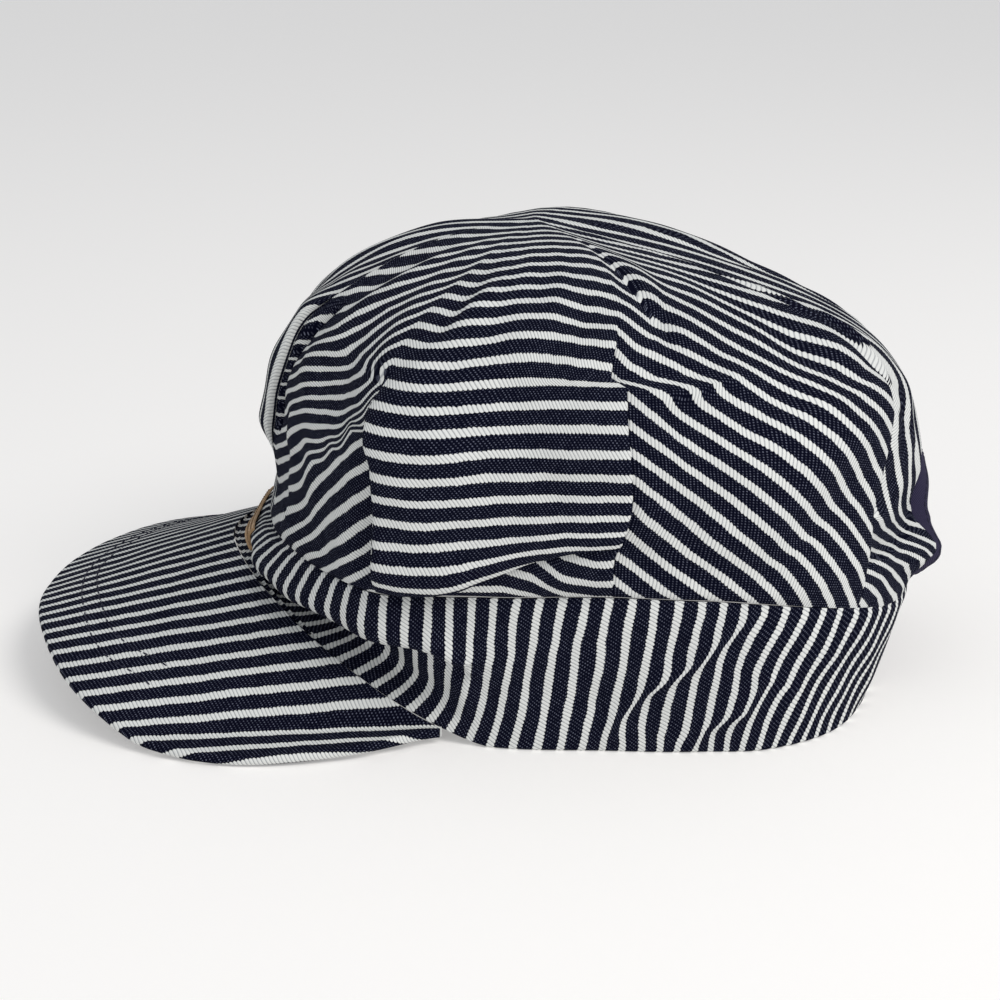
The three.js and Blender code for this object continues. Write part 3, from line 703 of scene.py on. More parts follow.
def tan_hide():
    material, b, surface = shader("tan_patch", 0.7, specular=0.35)
    place = b.node("ShaderNodeTexCoord").outputs["Object"]
    mottle = b.noise(place, 180, 4, 0.6)
    grain = b.noise(place, 1800, 3, 0.6)
    shade = b.blend(b.step(mottle, 0.3, 0.7), (0.40, 0.25, 0.13, 1), (0.56, 0.37, 0.21, 1))
    shade = b.blend(b.math("MULTIPLY", b.step(grain, 0.5, 0.75), 0.35), shade, (0.25, 0.14, 0.07, 1))
    b.feed(surface.inputs["Base Color"], shade)
    raise_relief(b, surface, grain, 0.12, 0.5)
    return material


def thread(name, colour):
    material, b, surface = shader(name, 0.75, specular=0.3)
    place = b.node("ShaderNodeTexCoord").outputs["Object"]
    ply = b.noise(place, 2600, 2)
    dark = tuple(0.55 * c for c in colour[:3]) + (1,)
    b.feed(surface.inputs["Base Color"], b.blend(ply, dark, colour))
    raise_relief(b, surface, ply, 0.1, 0.5)
    return material


STRIPED = striped_cloth()
NAVY_TWILL = navy_cloth()
TAN = tan_hide()
DARK_THREAD = thread("dark_thread", (0.02, 0.02, 0.045, 1))
TAN_THREAD = thread("tan_thread", (0.30, 0.19, 0.10, 1))


# Crown

# Columns across a pleat's edge, from its proud panel to the cloth behind it: the offset into the
# panel where the fold is flat and where it stands, the share of its lift, and the edge's rounding.
FOLD = [
    (2.6, 2.6, 1.0, 0.0, True),
    (1.6, 1.6, 1.0, 0.03, True),
    (1.0, 1.0, 1.0, 0.12, True),
    (0.55, 0.55, 1.0, 0.3, True),
    (0.25, 0.2, 1.0, 0.55, True),
    (0.1, 0.0, 1.0, 0.85, True),
    (0.0, 0.1, 0.42, 0.3, True),
    (-0.1, 0.5, 0.02, 0.0, False),
    (-0.3, -0.15, 0.0, 0.0, False),
    (-0.8, -0.75, 0.0, 0.0, False),
    (-1.6, -1.6, 0.0, 0.0, False),
]
CROWN_STEP = 1.5              # millimetres between the crown's columns, about
LOW_ROWS = 14                 # rows from the seam to the drag fold's edge
HIGH_ROWS = 108               # and from there to the middle of the top
INNER_ROWS = 26
FOLD_ROOM = 0.2               # half the space between the rows on either side of that edge
# Size and half width of the drag fold's bulge, of the rounding at its edge, of the hollow below that
# and of the edge's droop, and of the groove along the seam.
FOLD_BULGE = 3.5, 10
FOLD_EDGE = 1.5, 0.8
FOLD_HOLLOW = 0.7, 3
FOLD_DROOP = 1.2, 1.6
SEAM_GROOVE = 0.9, 1.3
TOP_FADE = 4.6, 5.6           # creases run out between these places up the crown
CORNER_PANEL, SIDE_PANEL, REAR_PANEL = 1, 2, 4
# How far up the traced stripes give way to the flat cut, and the heights between which those of the
# corner come to meet the left panel's, from this angle on.
TRACE_END = {CORNER_PANEL: 4.15, REAR_PANEL: 3.1}
TRACE_MEETS = 99, 104
MEETS_FROM = 36
TURNED_UNDER_SHADE = 4.5            # cloth turned under the front panel's edge, its stripes set off so that the edge's wall shows navy: painted shade in the fold
PAINTED_POCKET_SHADE = 1.5, 5.5             # the corner panel's white stripes narrow into navy behind that edge, wholly up to the first and fading out by the second: painted shade in the pocket
SETTLED = 0.6                 # how far up the crown the seam holds its folds flat
FLARE_FROM = 2                # rise above which the inside follows a crease
INNER_SLACK = 0.6             # the inside lies this much deeper than the wall asks
GATHER_FADE = 6               # the gathered stripes settle over this height above the drag fold
REAR_SLIDE = 44, 58           # the rear panel's threads slide sideways below these heights
STRIPE_SWAY = 0.15            # share of the slow waves that the stripes follow


def pleat_lift(pleat, z):
    foot = pleat.get("foot", 0)
    over = smooth(z, pleat["apex"] - PLEAT_FADE, pleat["apex"])
    return pleat["proud"] * smooth(z, foot, foot + FOOT_FADE) * (1 - over)


def crown_half():
    """Columns of the left half: angle, the pleat they belong to, fold offsets and panel number."""
    half = []
    last = 0.0
    for number, edge in enumerate(CUT["angle"][1:]):
        steps = max(int((edge - last) * CREASE_SCALE / CROWN_STEP), 2)
        pleat = PLEATS[number] if number < len(PLEATS) else None
        for k in range(1, steps):
            angle = last + (edge - last) * k / steps
            near = min(abs(angle - p["angle"]) * CREASE_SCALE for p in PLEATS)
            if near > FOLD[0][0] + 0.4:
                half.append({"angle": angle, "panel": number})
        if pleat:
            fold = [dict(zip(("flat", "fold", "share", "round", "in_panel"), row)) for row in FOLD]
            for row in fold:
                row["angle"] = edge + pleat["side"] * row["flat"] / CREASE_SCALE
                row["pleat"] = pleat
                row["panel"] = number + (1 if (pleat["side"] > 0) == row["in_panel"] else 0)
            half += fold if pleat["side"] < 0 else fold[::-1]
        last = edge
    return half


def crown_columns():
    half = crown_half()
    mirrored = [dict(c, angle=-c["angle"]) for c in reversed(half)]
    ends = {"angle": 180.0, "panel": len(CUT["angle"]) - 2}
    return [dict(ends, angle=-180.0)] + mirrored + [{"angle": 0.0, "panel": 0}] + half + [ends]


def wander(angle, z):
    """How far the pleats' edges have wandered round the cap, with the cloth near them."""
    moved = np.zeros(np.shape(angle))
    for pleat in PLEATS:
        away = np.abs(angle - pleat["angle"]) * CREASE_SCALE
        moved += np.interp(z, pleat["path"]["z"], pleat["path"]["off"]) * (1 - smooth(away, *WANDER_REACH))
    return moved * (angle > 0)


def lift_of_columns(columns, z):
    """How far the pleats lift each column at heights z, and how far they slide it sideways."""
    lift = np.zeros_like(z)
    slide = np.zeros_like(z)
    for j, c in enumerate(columns):
        at = abs(c["angle"])
        for pleat in PLEATS:
            into = pleat["side"] * (at - pleat["angle"]) * CREASE_SCALE
            if c.get("pleat") is not pleat and into > 0:
                lift[:, j] += pleat_lift(pleat, z[:, j]) * (1 - smooth(into, 0, PLEAT_REACH))
        if "pleat" in c:
            full = pleat_lift(c["pleat"], z[:, j])
            lift[:, j] += c["share"] * full - c["round"] * np.minimum(1, full / ROUNDED_FROM)
            way = c["pleat"]["side"] * (1 if c["angle"] > 0 else -1)
            slide[:, j] = way * (c["fold"] - c["flat"]) * np.minimum(1, full / TURNED_FROM)
    return lift, slide


def drag(name, angles):
    """A column of the drag fold's table; it lies on the wearer's left alone."""
    return np.where(angles > 0, np.interp(np.abs(angles), DRAG["angle"], DRAG[name]), 0)


def crown_rows(angles):
    """How far up each column its rows lie, with two of them along the drag fold's edge."""
    fine = np.linspace(0, 6, 361)
    places = crown_surface(angles[None, :], fine[:, None])
    length = arc_up(places)
    edge_z = np.interp(angles, DRAG["angle"], DRAG["edge_z"])
    t = np.empty((LOW_ROWS + HIGH_ROWS, len(angles)))
    edge = np.empty(len(angles))
    low_part = fine < 2
    for j in range(len(angles)):
        edge[j] = np.interp(edge_z[j], places[low_part, j, 2], length[low_part, j])
        low = np.linspace(SEAM_GAP / 2, edge[j] - FOLD_ROOM, LOW_ROWS)
        high = np.linspace(edge[j] + FOLD_ROOM, length[-1, j], HIGH_ROWS)
        t[:, j] = np.interp(np.concatenate([low, high]), length[:, j], fine)
    return t, edge


def spread(columns, at, shape):
    """Cloth coordinate across stripes that are counted in columns; at tells the column."""
    count = along(np.stack(columns)[..., None], np.clip(at, 0, len(columns) - 1))[:, 0]
    return (STRIPE_PITCH * (count + 0.5)).reshape(shape)


def traced_stripes(turned, z):
    """Cloth coordinate across the traced stripes, by panel."""
    high = z.ravel()
    corner = [np.interp(-high, -heights, CORNER_STRIPES["count"] + CORNER_COUNT)
              for name, heights in CORNER_STRIPES.items() if name != "count"]
    rear = [np.interp(high, REAR_STRIPES["z"], counts)
            for name, counts in REAR_STRIPES.items() if name != "z"]
    return {
        CORNER_PANEL: spread(corner, (turned.ravel() - CORNER_FIRST) / CORNER_STEP, z.shape),
        REAR_PANEL: spread(rear, (turned.ravel() - REAR_FIRST) / REAR_STEP, z.shape),
    }


def stripe_shift(angles, z, from_edge, slip):
    """What creases and gathers add to the stripes: everywhere, and in the side panel alone."""
    a = np.broadcast_to(angles, z.shape)
    above = drag("gather", angles) * np.exp(-np.maximum(from_edge, 0) / GATHER_FADE)
    under = drag("gather", angles) + drag("hidden", angles)
    return slip + STRIPE_SWAY * waves(a, z, 2.0), np.where(from_edge > 0, above, under)


def crown_cloth(columns, up, seam_arc, shift, side_shift, traced, climb, z):
    """Cloth coordinates of the crown, on the left and right of each face."""
    angles = np.array([c["angle"] for c in columns])
    total = up.max(axis=0)
    edge_arc = np.interp(CUT["angle"], angles, seam_arc) - np.interp(0, angles, seam_arc)
    here = np.abs(seam_arc - np.interp(0, angles, seam_arc))
    sides = []
    for step in (0, 1):
        count = len(columns) - 1
        cloth = np.zeros((len(up), count, 2))
        for j in range(count):
            k = j + step
            sign = 1 if angles[j] + angles[j + 1] > 0 else -1
            first, second = (columns[j + 1], columns[j]) if sign < 0 else (columns[j], columns[j + 1])
            panel = first["panel"] if "pleat" in first else second["panel"]
            f = (here[k] - edge_arc[panel]) / (edge_arc[panel + 1] - edge_arc[panel])
            x, y, hang = ((1 - f) * CUT[n][panel] + f * CUT[n][panel + 1] for n in ("x", "y", "drop"))
            drop = np.maximum(0, hang - up[:, k])
            q = np.minimum(1, (total[k] - up[:, k]) / (total[k] - hang))
            s = q * x + drop * CUT["out_x"][panel]
            v = q * y + drop * CUT["out_y"][panel]
            if sign > 0 and panel in traced:
                end = TRACE_END[panel]
                last = np.searchsorted(climb[:, k], end)
                left_over = (traced[panel][last, k] - s[last]) * (1 - smooth(climb[:, k], end, 6))
                s = np.where(climb[:, k] < end, traced[panel][:, k], s + left_over)
                if panel == REAR_PANEL:
                    v = v + 2 * x * (1 - smooth(z[:, k], *REAR_SLIDE))
            # The front panel's edge wall takes the cloth turned under it, set on a navy stripe: painted
            # shade.
            if panel == 0 and first.get("flat") == 0 and (step == 1) == (sign > 0):
                s = s + TURNED_UNDER_SHADE
            s = s + shift[:, k]
            if panel == SIDE_PANEL:
                s = s + side_shift[:, k]
            cloth[:, j, 0] = sign * s
            cloth[:, j, 1] = v
        sides.append(cloth)
    return sides


def make_crown():
    columns = crown_columns()
    angles = np.array([c["angle"] for c in columns])
    t, edge = crown_rows(angles)
    level = crown_surface(angles[None, :], t)
    turned = angles + wander(np.broadcast_to(angles, t.shape), level[..., 2])
    base = crown_surface(turned, t)
    out, side = facing_of(crown_surface, turned, t, *CROWN_READ)
    rise_up = np.cross(out, side)
    z = base[..., 2]
    settle = smooth(t, 0, SETTLED)
    fade = settle * (1 - smooth(t, *TOP_FADE))
    lift, slide = lift_of_columns(columns, z)
    crease, slip = creased(CROWN_CREASES, turned, z)
    up = arc_up(base) + SEAM_GAP / 2
    from_edge = up - edge
    above = from_edge > 0
    in_side = np.array([c["panel"] == SIDE_PANEL for c in columns])
    stand = drag("stand", angles) * in_side
    bulge = ridge(*FOLD_BULGE, from_edge) - ridge(*FOLD_EDGE, from_edge)
    lip = np.where(above, bulge, -ridge(*FOLD_HOLLOW, from_edge)) * stand
    droop = np.where(above, -ridge(*FOLD_DROOP, from_edge), 0) * stand
    groove = -ridge(*SEAM_GROOVE, up)
    away = lift * settle + (crease + waves(turned, z)) * fade + lip * smooth(up, 0.2, 1.5) + groove
    shown = base + out * away[..., None] + side * (slide * settle)[..., None] + rise_up * droop[..., None]
    shown[-1] = CROWN_TOP

    inner_t = np.broadcast_to(np.linspace(6, 0, INNER_ROWS)[:, None], (INNER_ROWS, len(angles)))
    inner_base = crown_surface(angles[None, :], inner_t)
    inner_out, _ = facing_of(crown_surface, angles[None, :], inner_t, *CROWN_READ)
    inner_fade = smooth(inner_t, 0, SETTLED) * (1 - smooth(inner_t, *TOP_FADE))
    inner_crease, _ = creased(CROWN_CREASES, np.broadcast_to(angles, inner_t.shape), inner_base[..., 2])
    followed = np.minimum(inner_crease, 0) + np.maximum(inner_crease - FLARE_FROM, 0)
    sunk = (followed - INNER_SLACK) * inner_fade
    inner = inner_base + inner_out * (sunk - CLOTH)[..., None]
    inner[-1] = inner_base[-1] - CLOTH * polar(angles, 1, 0)
    inner[-1, :, 2] += SEAM_GAP / 2
    inner[0] = np.array(CROWN_TOP) - (0, 0, CLOTH)

    seam_arc = np.concatenate([[0], np.cumsum(np.linalg.norm(np.diff(level[0], axis=0), axis=1))])
    shift, side_shift = stripe_shift(angles, z, from_edge, slip)
    traced = traced_stripes(turned, z)
    edge_column = np.argmin(np.abs(angles - CUT["angle"][SIDE_PANEL]))
    edge_up = up[:, edge_column]
    hang = CUT["drop"][SIDE_PANEL]
    flat = CUT["x"][SIDE_PANEL] * np.minimum(1, (edge_up[-1] - edge_up) / (edge_up[-1] - hang))
    into_corner = (angles - CUT["angle"][CORNER_PANEL]) * CREASE_SCALE
    turn = 2 * np.pi / STRIPE_PITCH
    # Behind the front panel's edge the corner panel's white stripes narrow away into navy: painted shade in
    # the pocket.
    traced[CORNER_PANEL] -= np.sin(turn * traced[CORNER_PANEL]) / turn * (1 - smooth(into_corner, *PAINTED_POCKET_SHADE))
    meet = smooth(z, *TRACE_MEETS) * smooth(angles, MEETS_FROM, CUT["angle"][SIDE_PANEL])
    traced[CORNER_PANEL] += (flat - traced[CORNER_PANEL][:, edge_column])[:, None] * meet
    left, right = crown_cloth(columns, up, seam_arc, shift, side_shift, traced, t, z)
    inner_up = arc_up(inner_base[::-1])[::-1]
    plain = np.zeros(inner_up.shape)
    inner_left, inner_right = crown_cloth(columns, inner_up, seam_arc, plain, plain, {}, None, None)
    points = np.concatenate([inner, shown])
    left = np.concatenate([inner_left, left])
    right = np.concatenate([inner_right, right])
    obj = cloth_grid("crown_cloth", points, left, right)
    close_doubles(obj)
    return obj


# Band

BAND_COLUMNS = 680
BAND_ROWS = 66
INNER_BAND_ROWS = 24
ROLL_AT = 0.64                # share of the band's height below the roll at the front
ROLL_END = 66, 86             # angles between which that roll runs out
RIM_LIFT = 0.5                # the rim's rows are turned up by this, round its middle
BAND_WAVES = 0.8              # share of the slow waves that the band's cloth takes
BAND_SWAY = 0.45              # and its stripes
# How far the band's stripes lean: sideways shift at the rim, by angle.
STRIPE_LEAN = table(
    "angle shift",
    (0, 0), (20, 5), (40, 8), (57, 9.5), (66, 9), (80, 7.5), (95, 7), (113, 12),
    (125, 20), (140, 24), (160, 14), (180, 0),
)


def make_band():
    angles = np.linspace(-180, 180, BAND_COLUMNS + 1)
    v = np.linspace(0, 1, BAND_ROWS)[:, None]
    base = band_surface(angles, v)
    out, _ = facing_of(band_surface, angles, v, *BAND_READ)
    around = np.broadcast_to(angles, base.shape[:2])
    rise, slip = creased(BAND_CREASES, around, base[..., 2])
    taper = np.sin(np.pi * v) ** 0.5
    up = arc_up(base)
    groove = -ridge(*SEAM_GROOVE, up[-1] - up)
    away = (rise + BAND_WAVES * waves(around, base[..., 2], 1.0)) * taper + groove
    shown = base + out * away[..., None]
    shown[0, :, 2] += RIM_LIFT
    shown[1:, :, 2] = np.maximum(shown[1:, :, 2], 0)
    shown[-1, :, 2] -= SEAM_GAP / 2
    inner_v = np.linspace(1, 0, INNER_BAND_ROWS)[:, None]
    inner_out, _ = facing_of(band_surface, angles, inner_v, *BAND_READ)
    inner_base = band_surface(angles, inner_v)
    inner_rise, _ = creased(BAND_CREASES, np.broadcast_to(angles, inner_base.shape[:2]), inner_base[..., 2])
    sunk = np.minimum(inner_rise, 0) * np.sin(np.pi * inner_v) ** 0.5
    inner = inner_base + inner_out * (sunk - CLOTH)[..., None]
    level_in = CLOTH * polar(angles, 1, 0)
    inner[0] = inner_base[0] - level_in
    inner[0, :, 2] -= SEAM_GAP / 2
    inner[-1] = inner_base[-1] - level_in
    inner[-1, :, 2] += RIM_LIFT
    rim = (base[0] - level_in / 2)[None]
    points = np.concatenate([inner, rim, shown])

    ring = band_surface(angles, 0.8)
    round_arc = np.concatenate([[0], np.cumsum(np.linalg.norm(np.diff(ring, axis=0), axis=1))])
    round_arc -= np.interp(0, angles, round_arc)
    lean = np.sign(angles) * column(STRIPE_LEAN, "shift", angles)

    def cloth(share, height, slipped):
        under_roll = np.clip((ROLL_AT - share) / ROLL_AT, 0, 1)
        beyond = smooth(np.abs(angles), *ROLL_END)
        s = round_arc + lean * (under_roll + (1 - share - under_roll) * beyond) + slipped
        return np.stack(np.broadcast_arrays(s, height), -1)

    inner_up = arc_up(inner_base[::-1])[::-1]
    both = np.concatenate([
        cloth(inner_v, inner_up, 0),
        cloth(np.zeros((1, 1)), np.zeros((1, 1)), slip[:1]),
        cloth(v, up, slip + BAND_SWAY * waves(around, base[..., 2], 3.0)),
    ])
    obj = cloth_grid("band_cloth", points, both[:, :-1], both[:, 1:])
    close_doubles(obj)
    close_rims(obj)
    return obj


# Peak

# Lines along the peak, straight from the band to its edge, by their distance from the middle at
# the band: height of the edge on the near and far side, and cloth from the middle to the line.
PEAK_LINES = table(
    "x near_z far_z cloth",
    (0, 15.5, 15.5, 0),
    (19, 16.8, 15.8, 19.1),
    (37, 17.4, 15.4, 37.3),
    (43, 17, 15, 43.35),
    (48.5, 16.5, 14.6, 49.4),
    (54, 15.7, 14.2, 55.45),
    (59.5, 14.4, 13.6, 61.5),
    (64.5, 12.9, 13, 67.55),
    (69, 11.1, 12.3, 73.6),
    (73, 9, 11.5, 79.65),
    (76.5, 6.4, 10.8, 85.7),
    (79, 4.4, 10, 91.75),
    (84, 3.3, 8.6, 97.8),
    (90, 3, 7, 104.5),
    (98, 3, 6, 113),
)
PEAK_FAN = 0.13               # how much wider the lines lie at the edge than at the band
FAN_DEPTH = 85
FAN_REACH = 80
STRIPE_AT_MIDDLE = -4.03      # the stripes' place at the middle of the peak
PEAK_COLUMNS = 280
PEAK_ROWS = 62
PEAK_START = 0.05             # the peak's first row lies this much clear of the gap
PEAK_LOWEST = 0.8             # its top's and its underside's least height
UNDER_LOWEST = 0.15
PEAK_WAVES = 0.25             # share of the slow waves that its cloth takes


def joint_line():
    """The peak's joint with the band, from its middle outwards."""
    angles = np.linspace(0, PEAK_END, 120)
    return polar(angles, column(BAND, "rim_r", angles), column(BAND, "rim_z", angles) + PEAK_STEP)


def line_of(x, y, joint):
    """Which of the peak's lines passes through x, y: its distance from the middle at the band."""
    line = np.abs(x)
    for _ in range(8):
        start = np.interp(line, joint[:, 0], joint[:, 1])
        depth = np.clip((start - y) / FAN_DEPTH, 0, 1)
        line = np.abs(x) / (1 + PEAK_FAN * depth * (line / FAN_REACH) ** 2)
    return line


def peak_height(x, y):
    """Height of the peak's top and its cloth coordinate."""
    joint = joint_line()
    angles = np.linspace(0, PEAK_END, 400)
    outline = polar(angles, column(BAND, "peak_r", angles), 0)
    outline = outline[outline[:, 1] < -90]
    end_line = line_of(outline[:, 0], outline[:, 1], joint)
    order = np.argsort(end_line)
    line = line_of(x, y, joint)
    start_y = np.interp(line, joint[:, 0], joint[:, 1])
    start_z = np.interp(line, joint[:, 0], joint[:, 2])
    end_y = np.interp(line, end_line[order], outline[order, 1])
    near = np.interp(line, PEAK_LINES["x"], PEAK_LINES["near_z"])
    far = np.interp(line, PEAK_LINES["x"], PEAK_LINES["far_z"])
    end_z = near + (far - near) * smooth(-x, -8, 8)
    share = np.clip((start_y - y) / (start_y - end_y), 0, 1)
    cloth = np.interp(line, PEAK_LINES["x"], PEAK_LINES["cloth"])
    return start_z + (end_z - start_z) * share, np.sign(x) * cloth + STRIPE_AT_MIDDLE


def make_peak():
    angles = np.linspace(-PEAK_END, PEAK_END, PEAK_COLUMNS)
    v = np.linspace(0, 1, PEAK_ROWS)[:, None]
    joint = band_surface(angles, 0.0)
    reach_in = np.hypot(joint[:, 0], joint[:, 1])
    reach = np.maximum(column(BAND, "peak_r", angles), reach_in + 0.9)
    radius = PEAK_THICK / 2
    bow = np.minimum(radius, (reach - reach_in) / 4)
    start = reach_in + SEAM_GAP + PEAK_START
    across = start + (reach - bow - start) * v
    top = polar(angles, across, 0.0 * across)
    height, _ = peak_height(top[..., 0], top[..., 1])
    ripple = PEAK_WAVES * waves(angles, across, 0.5) * np.sin(np.pi * v)
    top[..., 2] = np.maximum(height, PEAK_LOWEST) + ripple
    under = top.copy()
    under[..., 2] = np.maximum(under[..., 2] - PEAK_THICK, UNDER_LOWEST)
    outward = unit((top[-1] - top[-2]) * (1, 1, 0))
    half = (top[-1, :, 2] - under[-1, :, 2]) / 2
    middle = under[-1] + (0, 0, 1) * half[:, None]
    turns = np.linspace(0, np.pi, 9)[1:-1]
    rim = [middle + outward * bow[:, None] * np.sin(a) - (0, 0, 1) * (half * np.cos(a))[:, None]
           for a in turns]
    points = np.concatenate([under, rim, top[::-1]])
    _, s = peak_height(points[..., 0], points[..., 1])
    length = arc_up(points)
    edge_row = PEAK_ROWS + len(turns)
    rounding = length[edge_row] - length[PEAK_ROWS:edge_row]
    s[PEAK_ROWS:edge_row] = s[edge_row] + np.sign(s[edge_row]) * rounding * np.abs(outward[:, 0])
    cloth = np.stack([s, -points[..., 1]], -1)
    obj = cloth_grid("peak_cloth", points, cloth[:, :-1], cloth[:, 1:])
    close_strip(obj, len(points), len(angles))
    return obj


def close_strip(obj, rows, cols):
    """Joins the first row to the last, then caps both ends."""
    edit_all(obj, "EDGE")
    bpy.ops.mesh.select_all(action="DESELECT")
    done_editing()
    mesh = obj.data
    for edge in mesh.edges:
        a, b = edge.vertices
        same_row = a // cols == b // cols
        edge.select = same_row and a // cols in (0, rows - 1)
    bpy.ops.object.mode_set(mode="EDIT")
    bpy.ops.mesh.bridge_edge_loops()
    bpy.ops.mesh.select_all(action="SELECT")
    bpy.ops.mesh.fill_holes(sides=0)
    done_editing()


# Arched opening at the rear

ARCH_POINTS = 47              # round the arch
CUT_FROM = 55                 # where the cut through the rear starts, behind the ring's centre
CUT_DEEP = 90


def arch_outline(count, leg_points=2, foot=-10.0, shrink=0.0):
    """Points up one leg, over and down the other, in x and z, with the way in at each."""
    a = np.linspace(0, np.pi, count)
    half = ARCH["half"] - shrink
    rise = ARCH["top"] - shrink - ARCH["spring"]
    leg = np.linspace(foot, ARCH["spring"], leg_points)[:-1]
    x = np.concatenate([np.full(len(leg), half), half * np.cos(a), np.full(len(leg), -half)])
    z = np.concatenate([leg, ARCH["spring"] + rise * np.sin(a), leg[::-1]])
    in_x = np.concatenate([np.full(len(leg), -1.0), -np.cos(a), np.full(len(leg), 1.0)])
    in_z = np.concatenate([np.zeros(len(leg)), -np.sin(a), np.zeros(len(leg))])
    return x, z, in_x, in_z


def cut_arch(obj):
    x, z, _, _ = arch_outline(ARCH_POINTS)
    bpy.ops.object.select_all(action="DESELECT")
    bpy.ops.mesh.primitive_circle_add(vertices=len(x), radius=1, fill_type="NGON")
    cutter = bpy.context.object
    for vertex, at_x, at_z in zip(cutter.data.vertices, x, z):
        vertex.co = Vector((at_x, CUT_FROM + RING_Y, at_z)) * MM
    edit_all(cutter, "FACE")
    bpy.ops.mesh.extrude_region_move(TRANSFORM_OT_translate={"value": (0, CUT_DEEP * MM, 0)})
    bpy.ops.mesh.select_all(action="SELECT")
    bpy.ops.mesh.normals_make_consistent(inside=False)
    done_editing()
    cut = obj.modifiers.new("arch", "BOOLEAN")
    cut.operation = "DIFFERENCE"
    cut.solver = "EXACT"
    cut.object = cutter
    alone(obj)
    bpy.ops.object.modifier_apply(modifier=cut.name)
    bpy.data.objects.remove(cutter)


def evened(values, kernel):
    return np.convolve(np.pad(values, len(kernel) // 2, mode="edge"), kernel, mode="valid")


def rear_wall(pieces, x, z):
    """How far back the uncut cloth's outside lies at x, z."""
    trees = [BVHTree.FromObject(piece, bpy.context.evaluated_depsgraph_get()) for piece in pieces]
    wall = np.full(len(x), -1e9)
    for k in range(len(x)):
        for tree in trees:
            for nudge in (-0.8, 0, 0.8):
                start = Vector((x[k], 200, max(z[k] + nudge, 0.4))) * MM
                hit, _, _, _ = tree.ray_cast(start, Vector((0, -1, 0)))
                if hit:
                    wall[k] = max(wall[k], hit.y / MM - RING_Y)
    return wall


# How far the facing's lip stands out behind the cloth, by height.
LIP = table(
    "z out",
    (0, -1.2), (27, -1.2), (29.5, -0.6), (31, 1), (33, 3.6), (36, 4.3), (39.4, 2.8), (44, 3.2),
    (50, 6.2), (58, 4), (66, 0.8),
)
LIP_IN = 3.6                  # and how far in from the arch's edge
FACING_THICK = 1.2
WALL_READ = 1.2               # the cloth's place is read this far outside the arch
EDGE_ROUNDING = 0.4           # how far a strip's edge stands out, as a share of its thickness
STRAP_THICK = 1.4
PATCH_THICK = 0.75


def make_facing(pieces):
    x, z, in_x, in_z = arch_outline(90, leg_points=34, foot=1.0, shrink=SEAM_GAP)
    wall = rear_wall(pieces, x - WALL_READ * in_x, z - WALL_READ * in_z)
    wall = evened(wall, np.array([1, 2, 3, 2, 1]) / 9)
    stand = np.interp(z, LIP["z"], LIP["out"])
    share = np.linspace(0, 1, 9)
    inwards = 0.1 + LIP_IN * share
    seat_y = wall - CLOTH * 0.6
    lip_y = wall + stand
    bulge = np.sin(np.pi * share)
    front = np.stack([
        x[:, None] + in_x[:, None] * (inwards - 0.5 * bulge),
        seat_y[:, None] + (lip_y - seat_y)[:, None] * share ** 1.15,
        z[:, None] + in_z[:, None] * (inwards - 0.5 * bulge),
    ], -1)
    along_strip = unit(np.gradient(front, axis=0))
    across_strip = unit(np.gradient(front, axis=1))
    normal = unit(np.cross(along_strip, across_strip))
    inner_way = np.stack([in_x, np.zeros(len(x)), in_z], -1)[:, None]
    normal *= np.sign((normal * inner_way).sum(-1, keepdims=True) + 1e-9)
    back = front + normal * FACING_THICK
    tip = (front[:, -1:] + back[:, -1:]) / 2 + across_strip[:, -1:] * FACING_THICK * 0.45
    root = (front[:, :1] + back[:, :1]) / 2 - across_strip[:, :1] * FACING_THICK * 0.3
    sections = np.concatenate([front, tip, back[:, ::-1], root], axis=1)
    sections[..., 2] = np.maximum(sections[..., 2], 0.4)
    obj = wrapped_strip("facing_tape", sections)
    return obj, front, normal


def sheet_on_band(name, angles, low, high, near, far, rows=26):
    """A flat strip that follows the band between two levels, from depth near to depth far."""
    v = np.linspace(low, high, rows)
    outer = band_surface(angles[:, None], v[None, :])
    out, _ = facing_of(band_surface, angles[:, None], v[None, :], *BAND_READ)
    front = outer - out * near
    back = outer - out * far
    rounding = abs(far - near) * EDGE_ROUNDING
    middle = (front + back) / 2
    middle_low = middle[:, :1] - unit(front[:, 1:2] - front[:, :1]) * rounding
    middle_high = middle[:, -1:] + unit(front[:, -1:] - front[:, -2:-1]) * rounding
    sections = np.concatenate([front, middle_high, back[:, ::-1], middle_low], axis=1)
    return wrapped_strip(name, sections), front, out


# Stitches

THREAD_READ = 0.4             # a thread lies along its run between this far behind and ahead


def at_length(rows, spans, length):
    return np.array([np.interp(length, spans, rows[:, c]) for c in range(3)])


def sew(name, runs, length, thick, material, slot):
    """Copies of one thread loop along runs of (places, outward directions), spaced by length."""
    bpy.ops.object.select_all(action="DESELECT")
    bpy.ops.mesh.primitive_uv_sphere_add(segments=8, ring_count=6, radius=0.5)
    loop = bpy.context.object
    edit_all(loop)
    bpy.ops.transform.resize(value=(length * MM * 0.8, thick * MM, thick * MM * 0.8))
    done_editing()
    copies = []
    for places, outward in runs:
        spans = np.concatenate([[0], np.cumsum(np.linalg.norm(np.diff(places, axis=0), axis=1))])
        for centre in np.arange(length / 2, spans[-1], length):
            at = at_length(places, spans, centre)
            up = unit(at_length(outward, spans, centre))
            ahead = at_length(places, spans, centre + THREAD_READ)
            behind = at_length(places, spans, centre - THREAD_READ)
            run = unit(ahead - behind)
            cross = unit(np.cross(up, run))
            up = np.cross(run, cross)
            turn = Matrix(np.stack([run, cross, up], 1).tolist()).to_4x4()
            where = Matrix.Translation(Vector(at + (0, RING_Y, 0)) * MM)
            copy = bpy.data.objects.new(name, loop.data.copy())
            copy.data.transform(where @ turn)
            bpy.context.scene.collection.objects.link(copy)
            copies.append(copy)
    bpy.data.objects.remove(loop)
    alone(copies[0])
    for copy in copies:
        copy.select_set(True)
    bpy.ops.object.join()
    obj = bpy.context.object
    obj.name = name
    dress(obj, material, slot)


